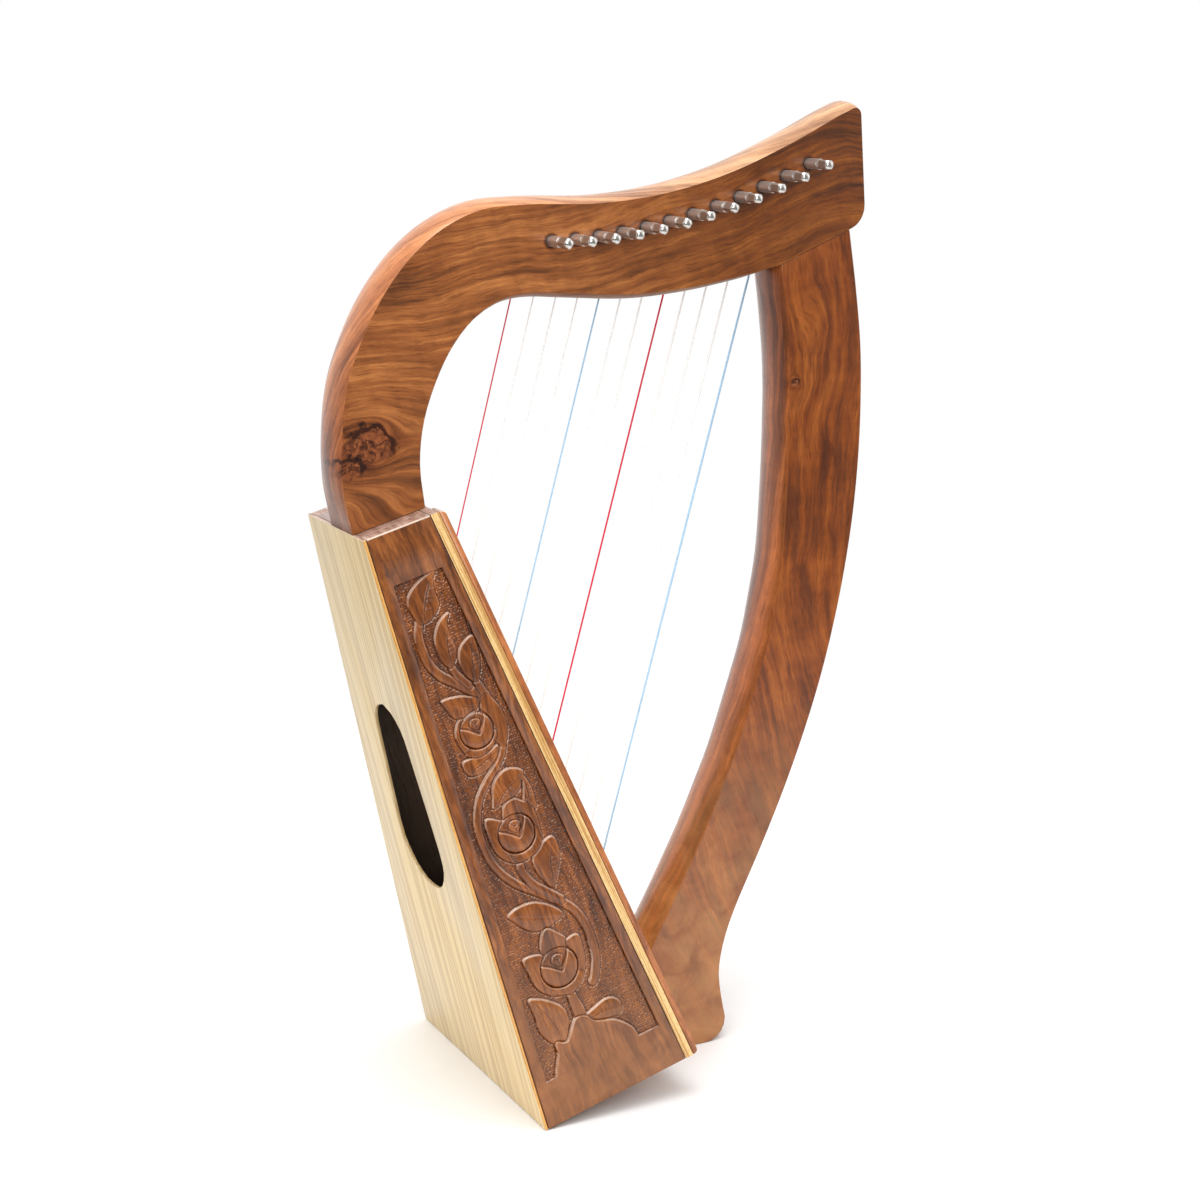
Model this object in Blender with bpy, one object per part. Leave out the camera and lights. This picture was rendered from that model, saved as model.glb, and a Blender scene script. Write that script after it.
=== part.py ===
"""A twelve-string lap harp, modelled as it is built: soundbox, neck, pillar, pins and strings.

World axes: +X from the soundbox towards the pillar, +Y to the player's left, +Z up.
The harp stands on the rear bottom edge of its soundbox and on the pillar's foot.
"Box axes" are the soundbox's own: x from its back panel forward, z up its height,
with the origin on the rear bottom edge, tilted back by BOX_TILT.
"""
import math

import bmesh
import bpy
from mathutils import Matrix, Vector

MM = 0.001
DEG = math.pi / 180.0

# Soundbox
BOX_TILT = 15.07 * DEG
BOX_HEIGHT = 306.0 * MM
BOX_WIDTH_BOTTOM = 150.0 * MM
BOX_WIDTH_TOP = 72.8 * MM
BOX_DEPTH_BOTTOM = 82.4 * MM
BOX_DEPTH_TOP = 35.4 * MM
BACK_RAKE = 6.5 * MM
BACK_THICKNESS = 1.7 * MM
BOARD_THICKNESS = 4.2 * MM
CHEEK_THICKNESS = 7.0 * MM
CHEEK_BEVEL = 0.6 * MM
BOTTOM_THICKNESS = 8.0 * MM
TOP_BLOCK_THICKNESS = 14.0 * MM
TRIM_THICKNESS = 3.0 * MM
TRIM_WIDTH = 9.0 * MM
TRIM_END_RADIUS = 2.6 * MM
LOWER_BLOCK_WIDTH = 62.0 * MM
LOWER_BLOCK_HEIGHT = 46.0 * MM
LOWER_BLOCK_DEPTH = 20.0 * MM

# Sunk panel on each cheek, measured from the cheek's edges
PANEL_DEPTH = 2.0 * MM
PANEL_BACK_MARGIN = 7.8 * MM
PANEL_FRONT_MARGIN = 5.6 * MM
PANEL_TOP_MARGIN = 25.0 * MM
PANEL_BOTTOM_MARGIN = 22.5 * MM

# Sound hole in the back panel, an egg-shaped oval: shares of its half length and half width
HOLE_CENTRE_HEIGHT = 162.0 * MM
HOLE_LENGTH = 100.9 * MM
HOLE_WIDTH = 51.8 * MM
HOLE_PROFILE = [
    (1.0, 0.0), (0.952, 0.330), (0.889, 0.498), (0.818, 0.614), (0.715, 0.703), (0.536, 0.761),
    (0.278, 0.822), (0.0, 0.896), (-0.267, 0.961), (-0.465, 1.0), (-0.610, 0.988),
    (-0.703, 0.934), (-0.796, 0.819), (-0.879, 0.680), (-0.943, 0.502), (-0.986, 0.270),
    (-1.0, 0.0),
]

# String rib on the soundboard
RIB_WIDTH = 12.0 * MM
RIB_THICKNESS = 2.5 * MM
RIB_BOTTOM_HEIGHT = 46.0 * MM
RIB_TOP_MARGIN = 14.0 * MM
RIB_END_RADIUS = 1.8 * MM

# Neck and pillar
PLANK_THICKNESS = 27.5 * MM
PLANK_NEAR_Y = -23.4 * MM
CROWN_HEIGHT = 3.3 * MM
NECK_FOOT_BLEND = 40.0 * MM
TENON_LENGTH = 34.0 * MM
TENON_INSET = 4.0 * MM
HEAD_TIP_RADIUS = 3.5 * MM
HEAD_CHIN_RADIUS = 12.0 * MM

# Neck outlines in box axes, measured from the box's upper rear corner
NECK_BACK_POINTS = [
    (0.3, 0.3), (2.0, 22.1), (8.6, 46.0), (17.4, 67.0), (29.5, 84.5), (44.5, 100.5),
    (64.1, 114.8), (84.7, 123.2), (105.0, 125.5), (128.1, 121.0), (165.5, 110.5),
    (200.9, 104.9), (236.9, 104.2), (273.2, 108.0), (305.0, 113.6),
]
NECK_UNDER_POINTS = [
    (38.5, 0.5), (41.7, 20.7), (49.7, 40.4), (63.4, 59.4), (74.5, 70.2), (87.9, 78.6),
    (100.6, 82.2), (111.3, 82.2), (121.6, 80.1), (141.0, 73.4), (172.7, 62.9),
    (202.4, 56.9), (224.8, 54.2), (240.9, 52.9), (254.8, 51.8),
]
HEAD_CHIN_X = 308.9 * MM
HEAD_CHIN_Z = 58.2 * MM
HEAD_TIP_X = 319.6 * MM
HEAD_TIP_Z = 115.6 * MM
JOINT_FRONT_X = 298.7 * MM
JOINT_FRONT_Z = 57.0 * MM

# Pillar outlines: share of the way down a straight line, and how far they bow forward of it
PILLAR_INNER_SET_BACK = 0.8 * MM
PILLAR_BOARD_HEIGHT = 18.0 * MM
PILLAR_INNER_BOW = [
    (0.058, 8.4), (0.136, 18.3), (0.212, 25.2), (0.294, 31.4), (0.387, 37.0), (0.450, 38.3),
    (0.511, 38.5), (0.602, 35.2), (0.665, 32.4), (0.714, 28.8), (0.780, 23.4), (0.833, 18.0),
    (0.880, 12.9), (0.914, 8.9),
]
PILLAR_OUTER_BOW = [
    (0.072, 10.3), (0.142, 19.1), (0.214, 25.5), (0.287, 30.2), (0.361, 33.1), (0.436, 34.1),
    (0.512, 33.4), (0.589, 30.9), (0.667, 26.3), (0.745, 20.0), (0.823, 12.1), (0.901, 3.3),
    (0.941, 0.0), (0.975, -0.9),
]
FOOT_WAIST_X = 129.0 * MM
FOOT_WAIST_HEIGHT = 37.7 * MM
FOOT_TOE_X = 133.2 * MM
FOOT_TOE_RADIUS = 12.5 * MM

# Tuning pins, from the treble end; each step grows by a little
STRING_COUNT = 12
PIN_FIRST_X = 135.3 * MM
PIN_FIRST_Z = 101.0 * MM
PIN_PITCH = 12.22 * MM
PIN_PITCH_GROWTH = 0.237 * MM
PIN_DROP = 2.83 * MM
PIN_DROP_GROWTH = 0.473 * MM
PIN_DIAMETER = 5.4 * MM
PIN_HEAD_PROUD = 20.1 * MM
PIN_TAIL_PROUD = 13.5 * MM
PIN_SQUARE_LENGTH = 9.7 * MM
PIN_SQUARE_WIDTH = 4.4 * MM
PIN_SHOULDER_LENGTH = 1.9 * MM
PIN_TIP_DOME = 2.1 * MM
PIN_TAIL_BEVEL = 0.7 * MM
PIN_HEAD_TURNS = [38, 22, 30, 5, 18, 31, 3, 27, 8, 2, 6, 4]

# Bridge pins on the far face of the neck
BRIDGE_DISTANCE = 15.0 * MM
BRIDGE_DIAMETER = 3.2 * MM
BRIDGE_WAIST_DIAMETER = 2.2 * MM
BRIDGE_PROUD = 6.5 * MM
BRIDGE_SEAT_DEPTH = 9.0 * MM
BRIDGE_WAIST_WIDTH = 1.8 * MM
STRING_BEND = 1.8 * MM

# Strings
STRING_HEIGHT_FROM_NECK = 4.0 * MM
STRING_DIAMETER_TREBLE = 0.70 * MM
STRING_DIAMETER_BASS = 1.10 * MM
STRING_TOP_MARGIN = 43.6 * MM
STRING_LAST_HEIGHT = 61.87 * MM
STRING_HOLE_DIAMETER = 2.6 * MM
KNOT_DIAMETER = 3.6 * MM
KNOT_LENGTH = 3.0 * MM
KNOT_SEAT = 0.8 * MM
WINDING_TURNS = 2.0
STRING_TURNS = 1.0
TURN_GAP = 0.50 * MM
TURN_STEPS = 16

# Fits
GAP = 0.3 * MM
ROUND_STEPS = 16
CROWN_STEPS = 6
CURVE_STEP = 6.0 * MM
CUT_MARGIN = 12.0 * MM


def clear_scene():
    for item in list(bpy.data.objects):
        bpy.data.objects.remove(item, do_unlink=True)


# Materials

def make_material(name, color, roughness, metallic=0.0):
    material = bpy.data.materials.new(name)
    material.use_nodes = True
    shader = material.node_tree.nodes["Principled BSDF"]
    shader.inputs["Base Color"].default_value = (*color, 1.0)
    shader.inputs["Roughness"].default_value = roughness
    shader.inputs["Metallic"].default_value = metallic
    return material


def make_materials():
    return {
        "rosewood": make_material("rosewood", (0.24, 0.085, 0.030), 0.30),
        "ash": make_material("ash", (0.72, 0.58, 0.36), 0.45),
        "ply": make_material("ply", (0.68, 0.42, 0.16), 0.45),
        "nickel": make_material("nickel", (0.62, 0.60, 0.57), 0.22, 1.0),
        "brass": make_material("brass", (0.70, 0.50, 0.20), 0.30, 1.0),
        "red nylon": make_material("red nylon", (0.72, 0.03, 0.08), 0.35),
        "blue nylon": make_material("blue nylon", (0.25, 0.42, 0.70), 0.35),
        "clear nylon": make_material("clear nylon", (0.86, 0.87, 0.86), 0.30),
    }


# Box axes

def tilt_matrix():
    return Matrix.Rotation(-BOX_TILT, 4, "Y")


def from_box(x, y, z):
    """World point (before centring) of a point given in box axes."""
    return tilt_matrix() @ Vector((x, y, z))


def half_width(z):
    """Half the soundbox's width at a height."""
    share = z / BOX_HEIGHT
    return 0.5 * (BOX_WIDTH_BOTTOM + (BOX_WIDTH_TOP - BOX_WIDTH_BOTTOM) * share)


def back_x(z):
    """Outer face of the back panel at a height."""
    return BACK_RAKE * z / BOX_HEIGHT


def front_x(z):
    """Rear face of the soundboard at a height."""
    share = z / BOX_HEIGHT
    return back_x(z) + BOX_DEPTH_BOTTOM + (BOX_DEPTH_TOP - BOX_DEPTH_BOTTOM) * share


def back_slope():
    return math.hypot(1.0, BACK_RAKE / BOX_HEIGHT)


def front_slope():
    return math.hypot(1.0, (front_x(BOX_HEIGHT) - front_x(0.0)) / BOX_HEIGHT)


def side_slope():
    return math.hypot(1.0, (BOX_WIDTH_BOTTOM - BOX_WIDTH_TOP) / 2.0 / BOX_HEIGHT)


def inside_back(z):
    return back_x(z) + (BACK_THICKNESS + GAP) * back_slope()


def inside_front(z):
    return front_x(z) - GAP * front_slope()


def board_face(z, height=0.0):
    """A plane in front of the soundboard, at a height over its face."""
    return front_x(z) + (BOARD_THICKNESS + height) * front_slope()


def inside_half_width(z):
    return half_width(z) - (CHEEK_THICKNESS + GAP) * side_slope()


# Mesh helpers

def finish_mesh(bm, name, material, sharp_angle=30.0):
    bmesh.ops.recalc_face_normals(bm, faces=bm.faces)
    mesh = bpy.data.meshes.new(name)
    bm.to_mesh(mesh)
    bm.free()
    mesh.shade_smooth()
    mesh.set_sharp_from_angle(angle=sharp_angle * DEG)
    mesh.materials.append(material)
    return mesh


def add_object(name, mesh, matrix=None):
    item = bpy.data.objects.new(name, mesh)
    if matrix is not None:
        item.matrix_world = matrix
    bpy.context.scene.collection.objects.link(item)
    return item


def loft(rings, closed_ends=True):
    """A solid through rings of points that all have the same count."""
    bm = bmesh.new()
    layers = [[bm.verts.new(point) for point in ring] for ring in rings]
    count = len(layers[0])
    for lower, upper in zip(layers, layers[1:]):
        for index in range(count):
            after = (index + 1) % count
            bm.faces.new((lower[index], lower[after], upper[after], upper[index]))
    if closed_ends:
        bm.faces.new(layers[0])
        bm.faces.new(list(reversed(layers[-1])))
    return bm


def box_slab(levels, outline):
    """A loft up the box: outline(z) gives the ring's (x, y) corners at each height."""
    return loft([[Vector((x, y, z)) for x, y in outline(z)] for z in levels])


def cut_away(item, cutters, name, solver="EXACT"):
    """Takes the cutters' volume from an object."""
    for number, cutter in enumerate(cutters):
        cutter.hide_render = True
        cutter.display_type = "WIRE"
        modifier = item.modifiers.new(f"{name} {number + 1}", "BOOLEAN")
        modifier.operation = "DIFFERENCE"
        modifier.solver = solver
        modifier.object = cutter


def slice_off(bm, point, normal):
    """Removes what lies beyond a plane and closes the cut."""
    geometry = bm.verts[:] + bm.edges[:] + bm.faces[:]
    result = bmesh.ops.bisect_plane(
        bm, geom=geometry, plane_co=point, plane_no=normal, dist=1e-7, clear_outer=True
    )
    edges = [piece for piece in result["geom_cut"] if isinstance(piece, bmesh.types.BMEdge)]
    bmesh.ops.holes_fill(bm, edges=edges)


def smooth_curve(points, step):
    """Points along a centripetal Catmull-Rom curve through the given ones, about a step apart."""
    first = points[0] * 2.0 - points[1]
    last = points[-1] * 2.0 - points[-2]
    chain = [first] + points + [last]
    result = []
    for p0, p1, p2, p3 in zip(chain, chain[1:], chain[2:], chain[3:]):
        t1 = math.sqrt((p1 - p0).length)
        t2 = t1 + math.sqrt((p2 - p1).length)
        t3 = t2 + math.sqrt((p3 - p2).length)
        count = max(1, round((p2 - p1).length / step))
        for index in range(count):
            t = t1 + (t2 - t1) * index / count
            a1 = p0 * ((t1 - t) / t1) + p1 * (t / t1)
            a2 = p1 * ((t2 - t) / (t2 - t1)) + p2 * ((t - t1) / (t2 - t1))
            a3 = p2 * ((t3 - t) / (t3 - t2)) + p3 * ((t - t2) / (t3 - t2))
            b1 = a1 * ((t2 - t) / t2) + a2 * (t / t2)
            b2 = a2 * ((t3 - t) / (t3 - t1)) + a3 * ((t - t1) / (t3 - t1))
            result.append(b1 * ((t2 - t) / (t2 - t1)) + b2 * ((t - t1) / (t2 - t1)))
    result.append(points[-1].copy())
    return result


def round_corner(before, corner, after, radius, steps=5):
    """Points of an arc that rounds the corner between two straight lines."""
    back = (before - corner).normalized()
    ahead = (after - corner).normalized()
    half = back.angle(ahead) / 2.0
    reach = radius / math.tan(half)
    reach = min(reach, (before - corner).length * 0.95, (after - corner).length * 0.95)
    radius = reach * math.tan(half)
    centre = corner + (back + ahead).normalized() * (radius / math.sin(half))
    start = corner + back * reach - centre
    end = corner + ahead * reach - centre
    sweep = start.angle(end)
    return [
        centre
        + start * (math.sin(sweep * (1 - k / steps)) / math.sin(sweep))
        + end * (math.sin(sweep * k / steps) / math.sin(sweep))
        for k in range(steps + 1)
    ]


# Planks with crowned edges, the form of the neck and the pillar

def crown_profile():
    """Share across the plank and bulge of its crowned edge, an arc of a circle."""
    half = PLANK_THICKNESS / 2.0
    radius = (half * half + CROWN_HEIGHT * CROWN_HEIGHT) / (2.0 * CROWN_HEIGHT)
    profile = []
    for step in range(CROWN_STEPS + 1):
        across = -half + PLANK_THICKNESS * step / CROWN_STEPS
        bulge = math.sqrt(radius * radius - across * across) - (radius - CROWN_HEIGHT)
        profile.append((across + half, max(0.0, bulge)))
    return profile


def outward_normals(outline):
    """Unit normals of a closed outline that runs clockwise seen from the near side."""
    count = len(outline)
    normals = []
    for index in range(count):
        along = (outline[(index + 1) % count] - outline[index - 1]).normalized()
        normals.append(Vector((-along.y, along.x)))
    return normals


def crowned_plank(outline, flat_share):
    """A plank between two flat faces, with its edge bulging by each point's share."""
    normals = outward_normals(outline)
    rings = []
    for across, bulge in crown_profile():
        ring = []
        for point, normal, share in zip(outline, normals, flat_share):
            edge = point + normal * (bulge * share)
            ring.append(Vector((edge.x, PLANK_NEAR_Y + across, edge.y)))
        rings.append(ring)
    return loft(rings)


def neck_point(x, z):
    """World (x, z) of a point in box axes, measured from the box's upper rear corner."""
    point = from_box(back_x(BOX_HEIGHT) + x, 0.0, BOX_HEIGHT + z)
    return Vector((point.x, point.z))


def joint_ends():
    """Both ends of the line where the pillar meets the head."""
    rear_x, rear_z = NECK_UNDER_POINTS[-1]
    rear = neck_point(rear_x * MM, rear_z * MM)
    return rear, neck_point(JOINT_FRONT_X, JOINT_FRONT_Z)


def neck_outline():
    """The neck's flat face, clockwise from the shoulder's foot."""
    back = smooth_curve([neck_point(x * MM, z * MM) for x, z in NECK_BACK_POINTS], CURVE_STEP)
    under = smooth_curve([neck_point(x * MM, z * MM) for x, z in NECK_UNDER_POINTS], CURVE_STEP)
    rear, front = joint_ends()
    tip = neck_point(HEAD_TIP_X, HEAD_TIP_Z)
    chin = neck_point(HEAD_CHIN_X, HEAD_CHIN_Z)
    head = round_corner(back[-1], tip, chin, HEAD_TIP_RADIUS)
    head += round_corner(tip, chin, front, HEAD_CHIN_RADIUS)
    joint = [front + (rear - front) * step / 5.0 for step in range(5)]
    below = neck_point(NECK_UNDER_POINTS[0][0] * MM, -CUT_MARGIN)
    start = neck_point(NECK_BACK_POINTS[0][0] * MM, -CUT_MARGIN)
    return [start] + back + head + joint + list(reversed(under)) + [below]


def joint_flatness(outline):
    """1 away from the joint with the pillar, falling to 0 along it."""
    rear, front = joint_ends()
    along = (front - rear).normalized()
    length = (front - rear).length
    shares = []
    for point in outline:
        reach = (point - rear).dot(along)
        off = max(-reach, reach - length, 0.0)
        height = abs((point - rear).dot(Vector((-along.y, along.x))))
        clear = max(0.0, max(off, height) - 1.3 * CROWN_HEIGHT)
        share = min(1.0, clear / CUT_MARGIN)
        shares.append(share * share * (3.0 - 2.0 * share))
    return shares


def foot_flatness(outline):
    """0 where the neck stands on the soundbox, rising to 1 above it."""
    seat = neck_point(0.0, 0.0)
    up = from_box(0.0, 0.0, 1.0)
    shares = []
    for point in outline:
        height = (point - seat).dot(Vector((up.x, up.z)))
        share = min(1.0, max(0.0, height / NECK_FOOT_BLEND))
        shares.append(share * share * (3.0 - 2.0 * share))
    return shares


def pin_place(number):
    """World (x, z) of a tuning pin's axis, counted from 0 at the treble end."""
    pairs = number * (number - 1) / 2.0
    x = PIN_FIRST_X + number * PIN_PITCH + pairs * PIN_PITCH_GROWTH
    z = PIN_FIRST_Z - number * PIN_DROP + pairs * PIN_DROP_GROWTH
    return neck_point(x, z)


def neck_far_y():
    return PLANK_NEAR_Y + PLANK_THICKNESS


def tenon_mesh_bounds():
    """The tenon inside the soundbox, in box axes."""
    top = BOX_HEIGHT + TENON_INSET
    bottom = BOX_HEIGHT - TENON_LENGTH
    rear = inside_back(BOX_HEIGHT) + TENON_INSET
    front = inside_front(BOX_HEIGHT) - TENON_INSET
    near = PLANK_NEAR_Y + TENON_INSET
    far = neck_far_y() - TENON_INSET
    return rear, front, near, far, bottom, top


def make_neck(material):
    outline = neck_outline()
    shares = [a * b for a, b in zip(joint_flatness(outline), foot_flatness(outline))]
    bm = crowned_plank(outline, shares)
    seat = from_box(back_x(BOX_HEIGHT), 0.0, BOX_HEIGHT + GAP)
    slice_off(bm, seat, tilt_matrix() @ Vector((0.0, 0.0, -1.0)))
    neck = add_object("neck", finish_mesh(bm, "neck", material))
    rear, front, near, far, bottom, top = tenon_mesh_bounds()
    corners = [(rear, near), (front, near), (front, far), (rear, far)]
    tenon_bm = loft([[from_box(x, y, z) for x, y in corners] for z in (bottom, top)])
    tenon = add_object("tenon guide", finish_mesh(tenon_bm, "tenon", material))
    tenon.hide_render = True
    tenon.display_type = "WIRE"
    union = neck.modifiers.new("tenon", "BOOLEAN")
    union.operation = "UNION"
    union.object = tenon
    drills = []
    for number in range(STRING_COUNT):
        centre = pin_place(number)
        middle = Vector((centre.x, PLANK_NEAR_Y + PLANK_THICKNESS / 2.0, centre.y))
        length = PLANK_THICKNESS + 4.0 * GAP
        radius = PIN_DIAMETER / 2.0 + GAP
        drills.append((middle, radius, length))
        bridge = bridge_place(number)
        depth = BRIDGE_SEAT_DEPTH + GAP
        seat_middle = Vector((bridge.x, neck_far_y() - depth / 2.0 + GAP, bridge.y))
        drills.append((seat_middle, BRIDGE_DIAMETER / 2.0 + GAP, depth + 2.0 * GAP))
    cut_away(neck, [make_drills(drills, material)], "pin holes")
    return neck


def make_drills(drills, material):
    """One guide that holds a cylinder along Y for every hole in the neck."""
    bm = bmesh.new()
    for middle, radius, length in drills:
        place = Matrix.Translation(middle) @ Matrix.Rotation(math.pi / 2.0, 4, "X")
        bmesh.ops.create_cone(
            bm, cap_ends=True, segments=ROUND_STEPS, radius1=radius, radius2=radius,
            depth=length, matrix=place,
        )
    return add_object("pin hole guide", finish_mesh(bm, "pin holes", material))


def board_contact(height):
    """World (x, z) of a point on the soundboard's face at a height up the box."""
    point = from_box(board_face(height), 0.0, height)
    return Vector((point.x, point.z))


def bowed_line(start, end, bow):
    """Points that bow forward of a straight line."""
    along = end - start
    across = Vector((-along.y, along.x)).normalized()
    return [start + along * share + across * (rise * MM) for share, rise in bow]


def pillar_outline():
    """The pillar's flat face, clockwise from its lower rear end."""
    rear, front = joint_ends()
    top_rear = rear + (front - rear).normalized() * PILLAR_INNER_SET_BACK
    rise = Vector((0.0, CUT_MARGIN))
    contact = board_contact(PILLAR_BOARD_HEIGHT)
    inner = bowed_line(top_rear, contact, PILLAR_INNER_BOW)
    inner_line = smooth_curve([top_rear] + inner + [contact], CURVE_STEP)
    waist = Vector((FOOT_WAIST_X, FOOT_WAIST_HEIGHT))
    outer = bowed_line(front, waist, PILLAR_OUTER_BOW)
    toe = Vector((FOOT_TOE_X, FOOT_TOE_RADIUS))
    flare = [waist + (toe - waist) * 0.5 + Vector((-0.5 * MM, 0.0))]
    outer_line = smooth_curve([front] + outer + [waist] + flare + [toe], CURVE_STEP)
    corner = Vector((FOOT_TOE_X, 0.0))
    heel = Vector((board_contact(0.0).x, 0.0))
    foot = round_corner(toe, corner, heel, FOOT_TOE_RADIUS)[1:]
    sink = Vector((0.0, -CUT_MARGIN))
    inner_back = contact - (inner_line[-2] - contact).normalized() * CUT_MARGIN
    return (
        [heel + sink * 2.0, inner_back]
        + list(reversed(inner_line))
        + [top_rear + rise, front + rise]
        + outer_line
        + foot[:-1]
        + [foot[-1] + sink * 0.02, foot[-1] + sink * 2.0]
    )


def make_pillar(material):
    outline = pillar_outline()
    bm = crowned_plank(outline, [1.0] * len(outline))
    rear, front = joint_ends()
    along = front - rear
    down = Vector((along.y, 0.0, -along.x)).normalized()
    slice_off(bm, Vector((rear.x, 0.0, rear.y)) + down * GAP, -down)
    ahead = tilt_matrix() @ Vector((1.0, 0.0, (front_x(0.0) - front_x(BOX_HEIGHT)) / BOX_HEIGHT))
    slice_off(bm, from_box(board_face(0.0, GAP), 0.0, 0.0), -ahead.normalized())
    slice_off(bm, Vector((0.0, 0.0, 0.0)), Vector((0.0, 0.0, -1.0)))
    return add_object("pillar", finish_mesh(bm, "pillar", material))


# Soundbox

def make_cheek(name, side, material):
    """One side of the box; side is -1 for the player's right."""
    def outline(z):
        outer = half_width(z) - max(0.0, z - (BOX_HEIGHT - CHEEK_BEVEL))
        inner = half_width(z) - CHEEK_THICKNESS * side_slope()
        near, far = sorted((side * outer, side * inner))
        return [
            (inside_back(z), near), (inside_front(z), near),
            (inside_front(z), far), (inside_back(z), far),
        ]
    levels = (0.0, BOX_HEIGHT - CHEEK_BEVEL, BOX_HEIGHT)
    cheek = add_object(name, finish_mesh(box_slab(levels, outline), name, material))
    cheek.matrix_world = tilt_matrix()
    cut_away(cheek, [make_panel_guide(name, side, material)], "sunk panel")
    return cheek


def panel_corners():
    """Height and depth of the sunk panel's corners, in box axes."""
    low = PANEL_BOTTOM_MARGIN
    high = BOX_HEIGHT - PANEL_TOP_MARGIN
    corners = []
    for z in (low, high):
        corners.append((back_x(z) + PANEL_BACK_MARGIN, z))
        corners.append((front_x(z) - PANEL_FRONT_MARGIN, z))
    return corners


def make_panel_guide(name, side, material):
    low_back, low_front, high_back, high_front = panel_corners()
    ring_order = [low_back, low_front, high_front, high_back]
    depth = PANEL_DEPTH * side_slope()
    rings = []
    for inset in (-PANEL_DEPTH, depth):
        rings.append([Vector((x, side * (half_width(z) - inset), z)) for x, z in ring_order])
    guide = add_object(f"{name} panel guide", finish_mesh(loft(rings), "panel", material))
    guide.matrix_world = tilt_matrix()
    return guide


def make_back_panel(material):
    def outline(z):
        outer = back_x(z)
        inner = outer + BACK_THICKNESS * back_slope()
        wide = half_width(z)
        return [(outer, -wide), (inner, -wide), (inner, wide), (outer, wide)]
    slab = box_slab((0.0, BOX_HEIGHT), outline)
    panel = add_object("back_panel", finish_mesh(slab, "back_panel", material))
    panel.matrix_world = tilt_matrix()
    rings = []
    for offset in (-BACK_THICKNESS, 2.0 * BACK_THICKNESS):
        rings.append([
            Vector((back_x(z) + offset, y, z)) for y, z in sound_hole_outline()
        ])
    guide = add_object("sound hole guide", finish_mesh(loft(rings), "sound hole", material))
    guide.matrix_world = tilt_matrix()
    cut_away(panel, [guide], "sound hole")
    return panel


def sound_hole_outline():
    """An egg-shaped oval, wider below: (y, z) points in box axes."""
    side = []
    for rise, reach in HOLE_PROFILE:
        z = HOLE_CENTRE_HEIGHT + HOLE_LENGTH / 2.0 * rise
        side.append((HOLE_WIDTH / 2.0 * reach, z))
    other = [(-y, z) for y, z in reversed(side[1:-1])]
    return side + other


def make_soundboard(material):
    def outline(z):
        wide = half_width(z)
        rear = front_x(z)
        face = board_face(z)
        return [(rear, -wide), (face, -wide), (face, wide), (rear, wide)]
    slab = box_slab((0.0, BOX_HEIGHT), outline)
    board = add_object("soundboard", finish_mesh(slab, "soundboard", material))
    board.matrix_world = tilt_matrix()
    cut_away(board, [make_string_drill("board", material)], "string holes")
    return board


def rounded_strip(levels, radius, low_face, high_face, sides):
    """A strip on the soundboard whose two ends fall away in a quarter circle."""
    low, high = levels
    steps = 4
    rings = []
    for step in range(steps + 1):
        angle = math.pi / 2.0 * step / steps
        rings.append((low + radius * (1.0 - math.sin(angle)), radius * (1.0 - math.cos(angle))))
    lower = sorted(rings)
    upper = [(high - (z - low), drop) for z, drop in reversed(lower)]
    layers = []
    for z, drop in lower + upper:
        near, far = sides(z)
        face = board_face(z, high_face - drop)
        seat = board_face(z, low_face)
        layers.append([
            Vector((seat, near, z)), Vector((face, near, z)),
            Vector((face, far, z)), Vector((seat, far, z)),
        ])
    return loft(layers)


def make_trim(name, side, material):
    def sides(z):
        outer = side * half_width(z)
        inner = side * (half_width(z) - TRIM_WIDTH)
        return sorted((outer, inner))
    top = GAP + TRIM_THICKNESS
    strip = rounded_strip((0.0, BOX_HEIGHT), TRIM_END_RADIUS, GAP, top, sides)
    trim = add_object(name, finish_mesh(strip, name, material))
    trim.matrix_world = tilt_matrix()
    return trim


def make_string_rib(material):
    def sides(z):
        return (-RIB_WIDTH / 2.0, RIB_WIDTH / 2.0)
    levels = (RIB_BOTTOM_HEIGHT, BOX_HEIGHT - RIB_TOP_MARGIN)
    strip = rounded_strip(levels, RIB_END_RADIUS, GAP, GAP + RIB_THICKNESS, sides)
    rib = add_object("string_rib", finish_mesh(strip, "string_rib", material))
    rib.matrix_world = tilt_matrix()
    cut_away(rib, [make_string_drill("rib", material)], "string holes")
    return rib


def make_string_drill(name, material):
    """A guide with one cylinder per string, square to the soundboard."""
    bm = bmesh.new()
    lean = math.atan2(front_x(0.0) - front_x(BOX_HEIGHT), BOX_HEIGHT)
    length = 4.0 * (BOARD_THICKNESS + RIB_THICKNESS)
    for number in range(STRING_COUNT):
        z = string_height(number)
        turn = Matrix.Rotation(math.pi / 2.0 - lean, 4, "Y")
        place = Matrix.Translation((board_face(z), 0.0, z)) @ turn
        bmesh.ops.create_cone(
            bm, cap_ends=True, segments=8, radius1=STRING_HOLE_DIAMETER / 2.0,
            radius2=STRING_HOLE_DIAMETER / 2.0, depth=length, matrix=place,
        )
    guide = add_object(f"{name} string hole guide", finish_mesh(bm, "string holes", material))
    guide.matrix_world = tilt_matrix()
    return guide


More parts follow.
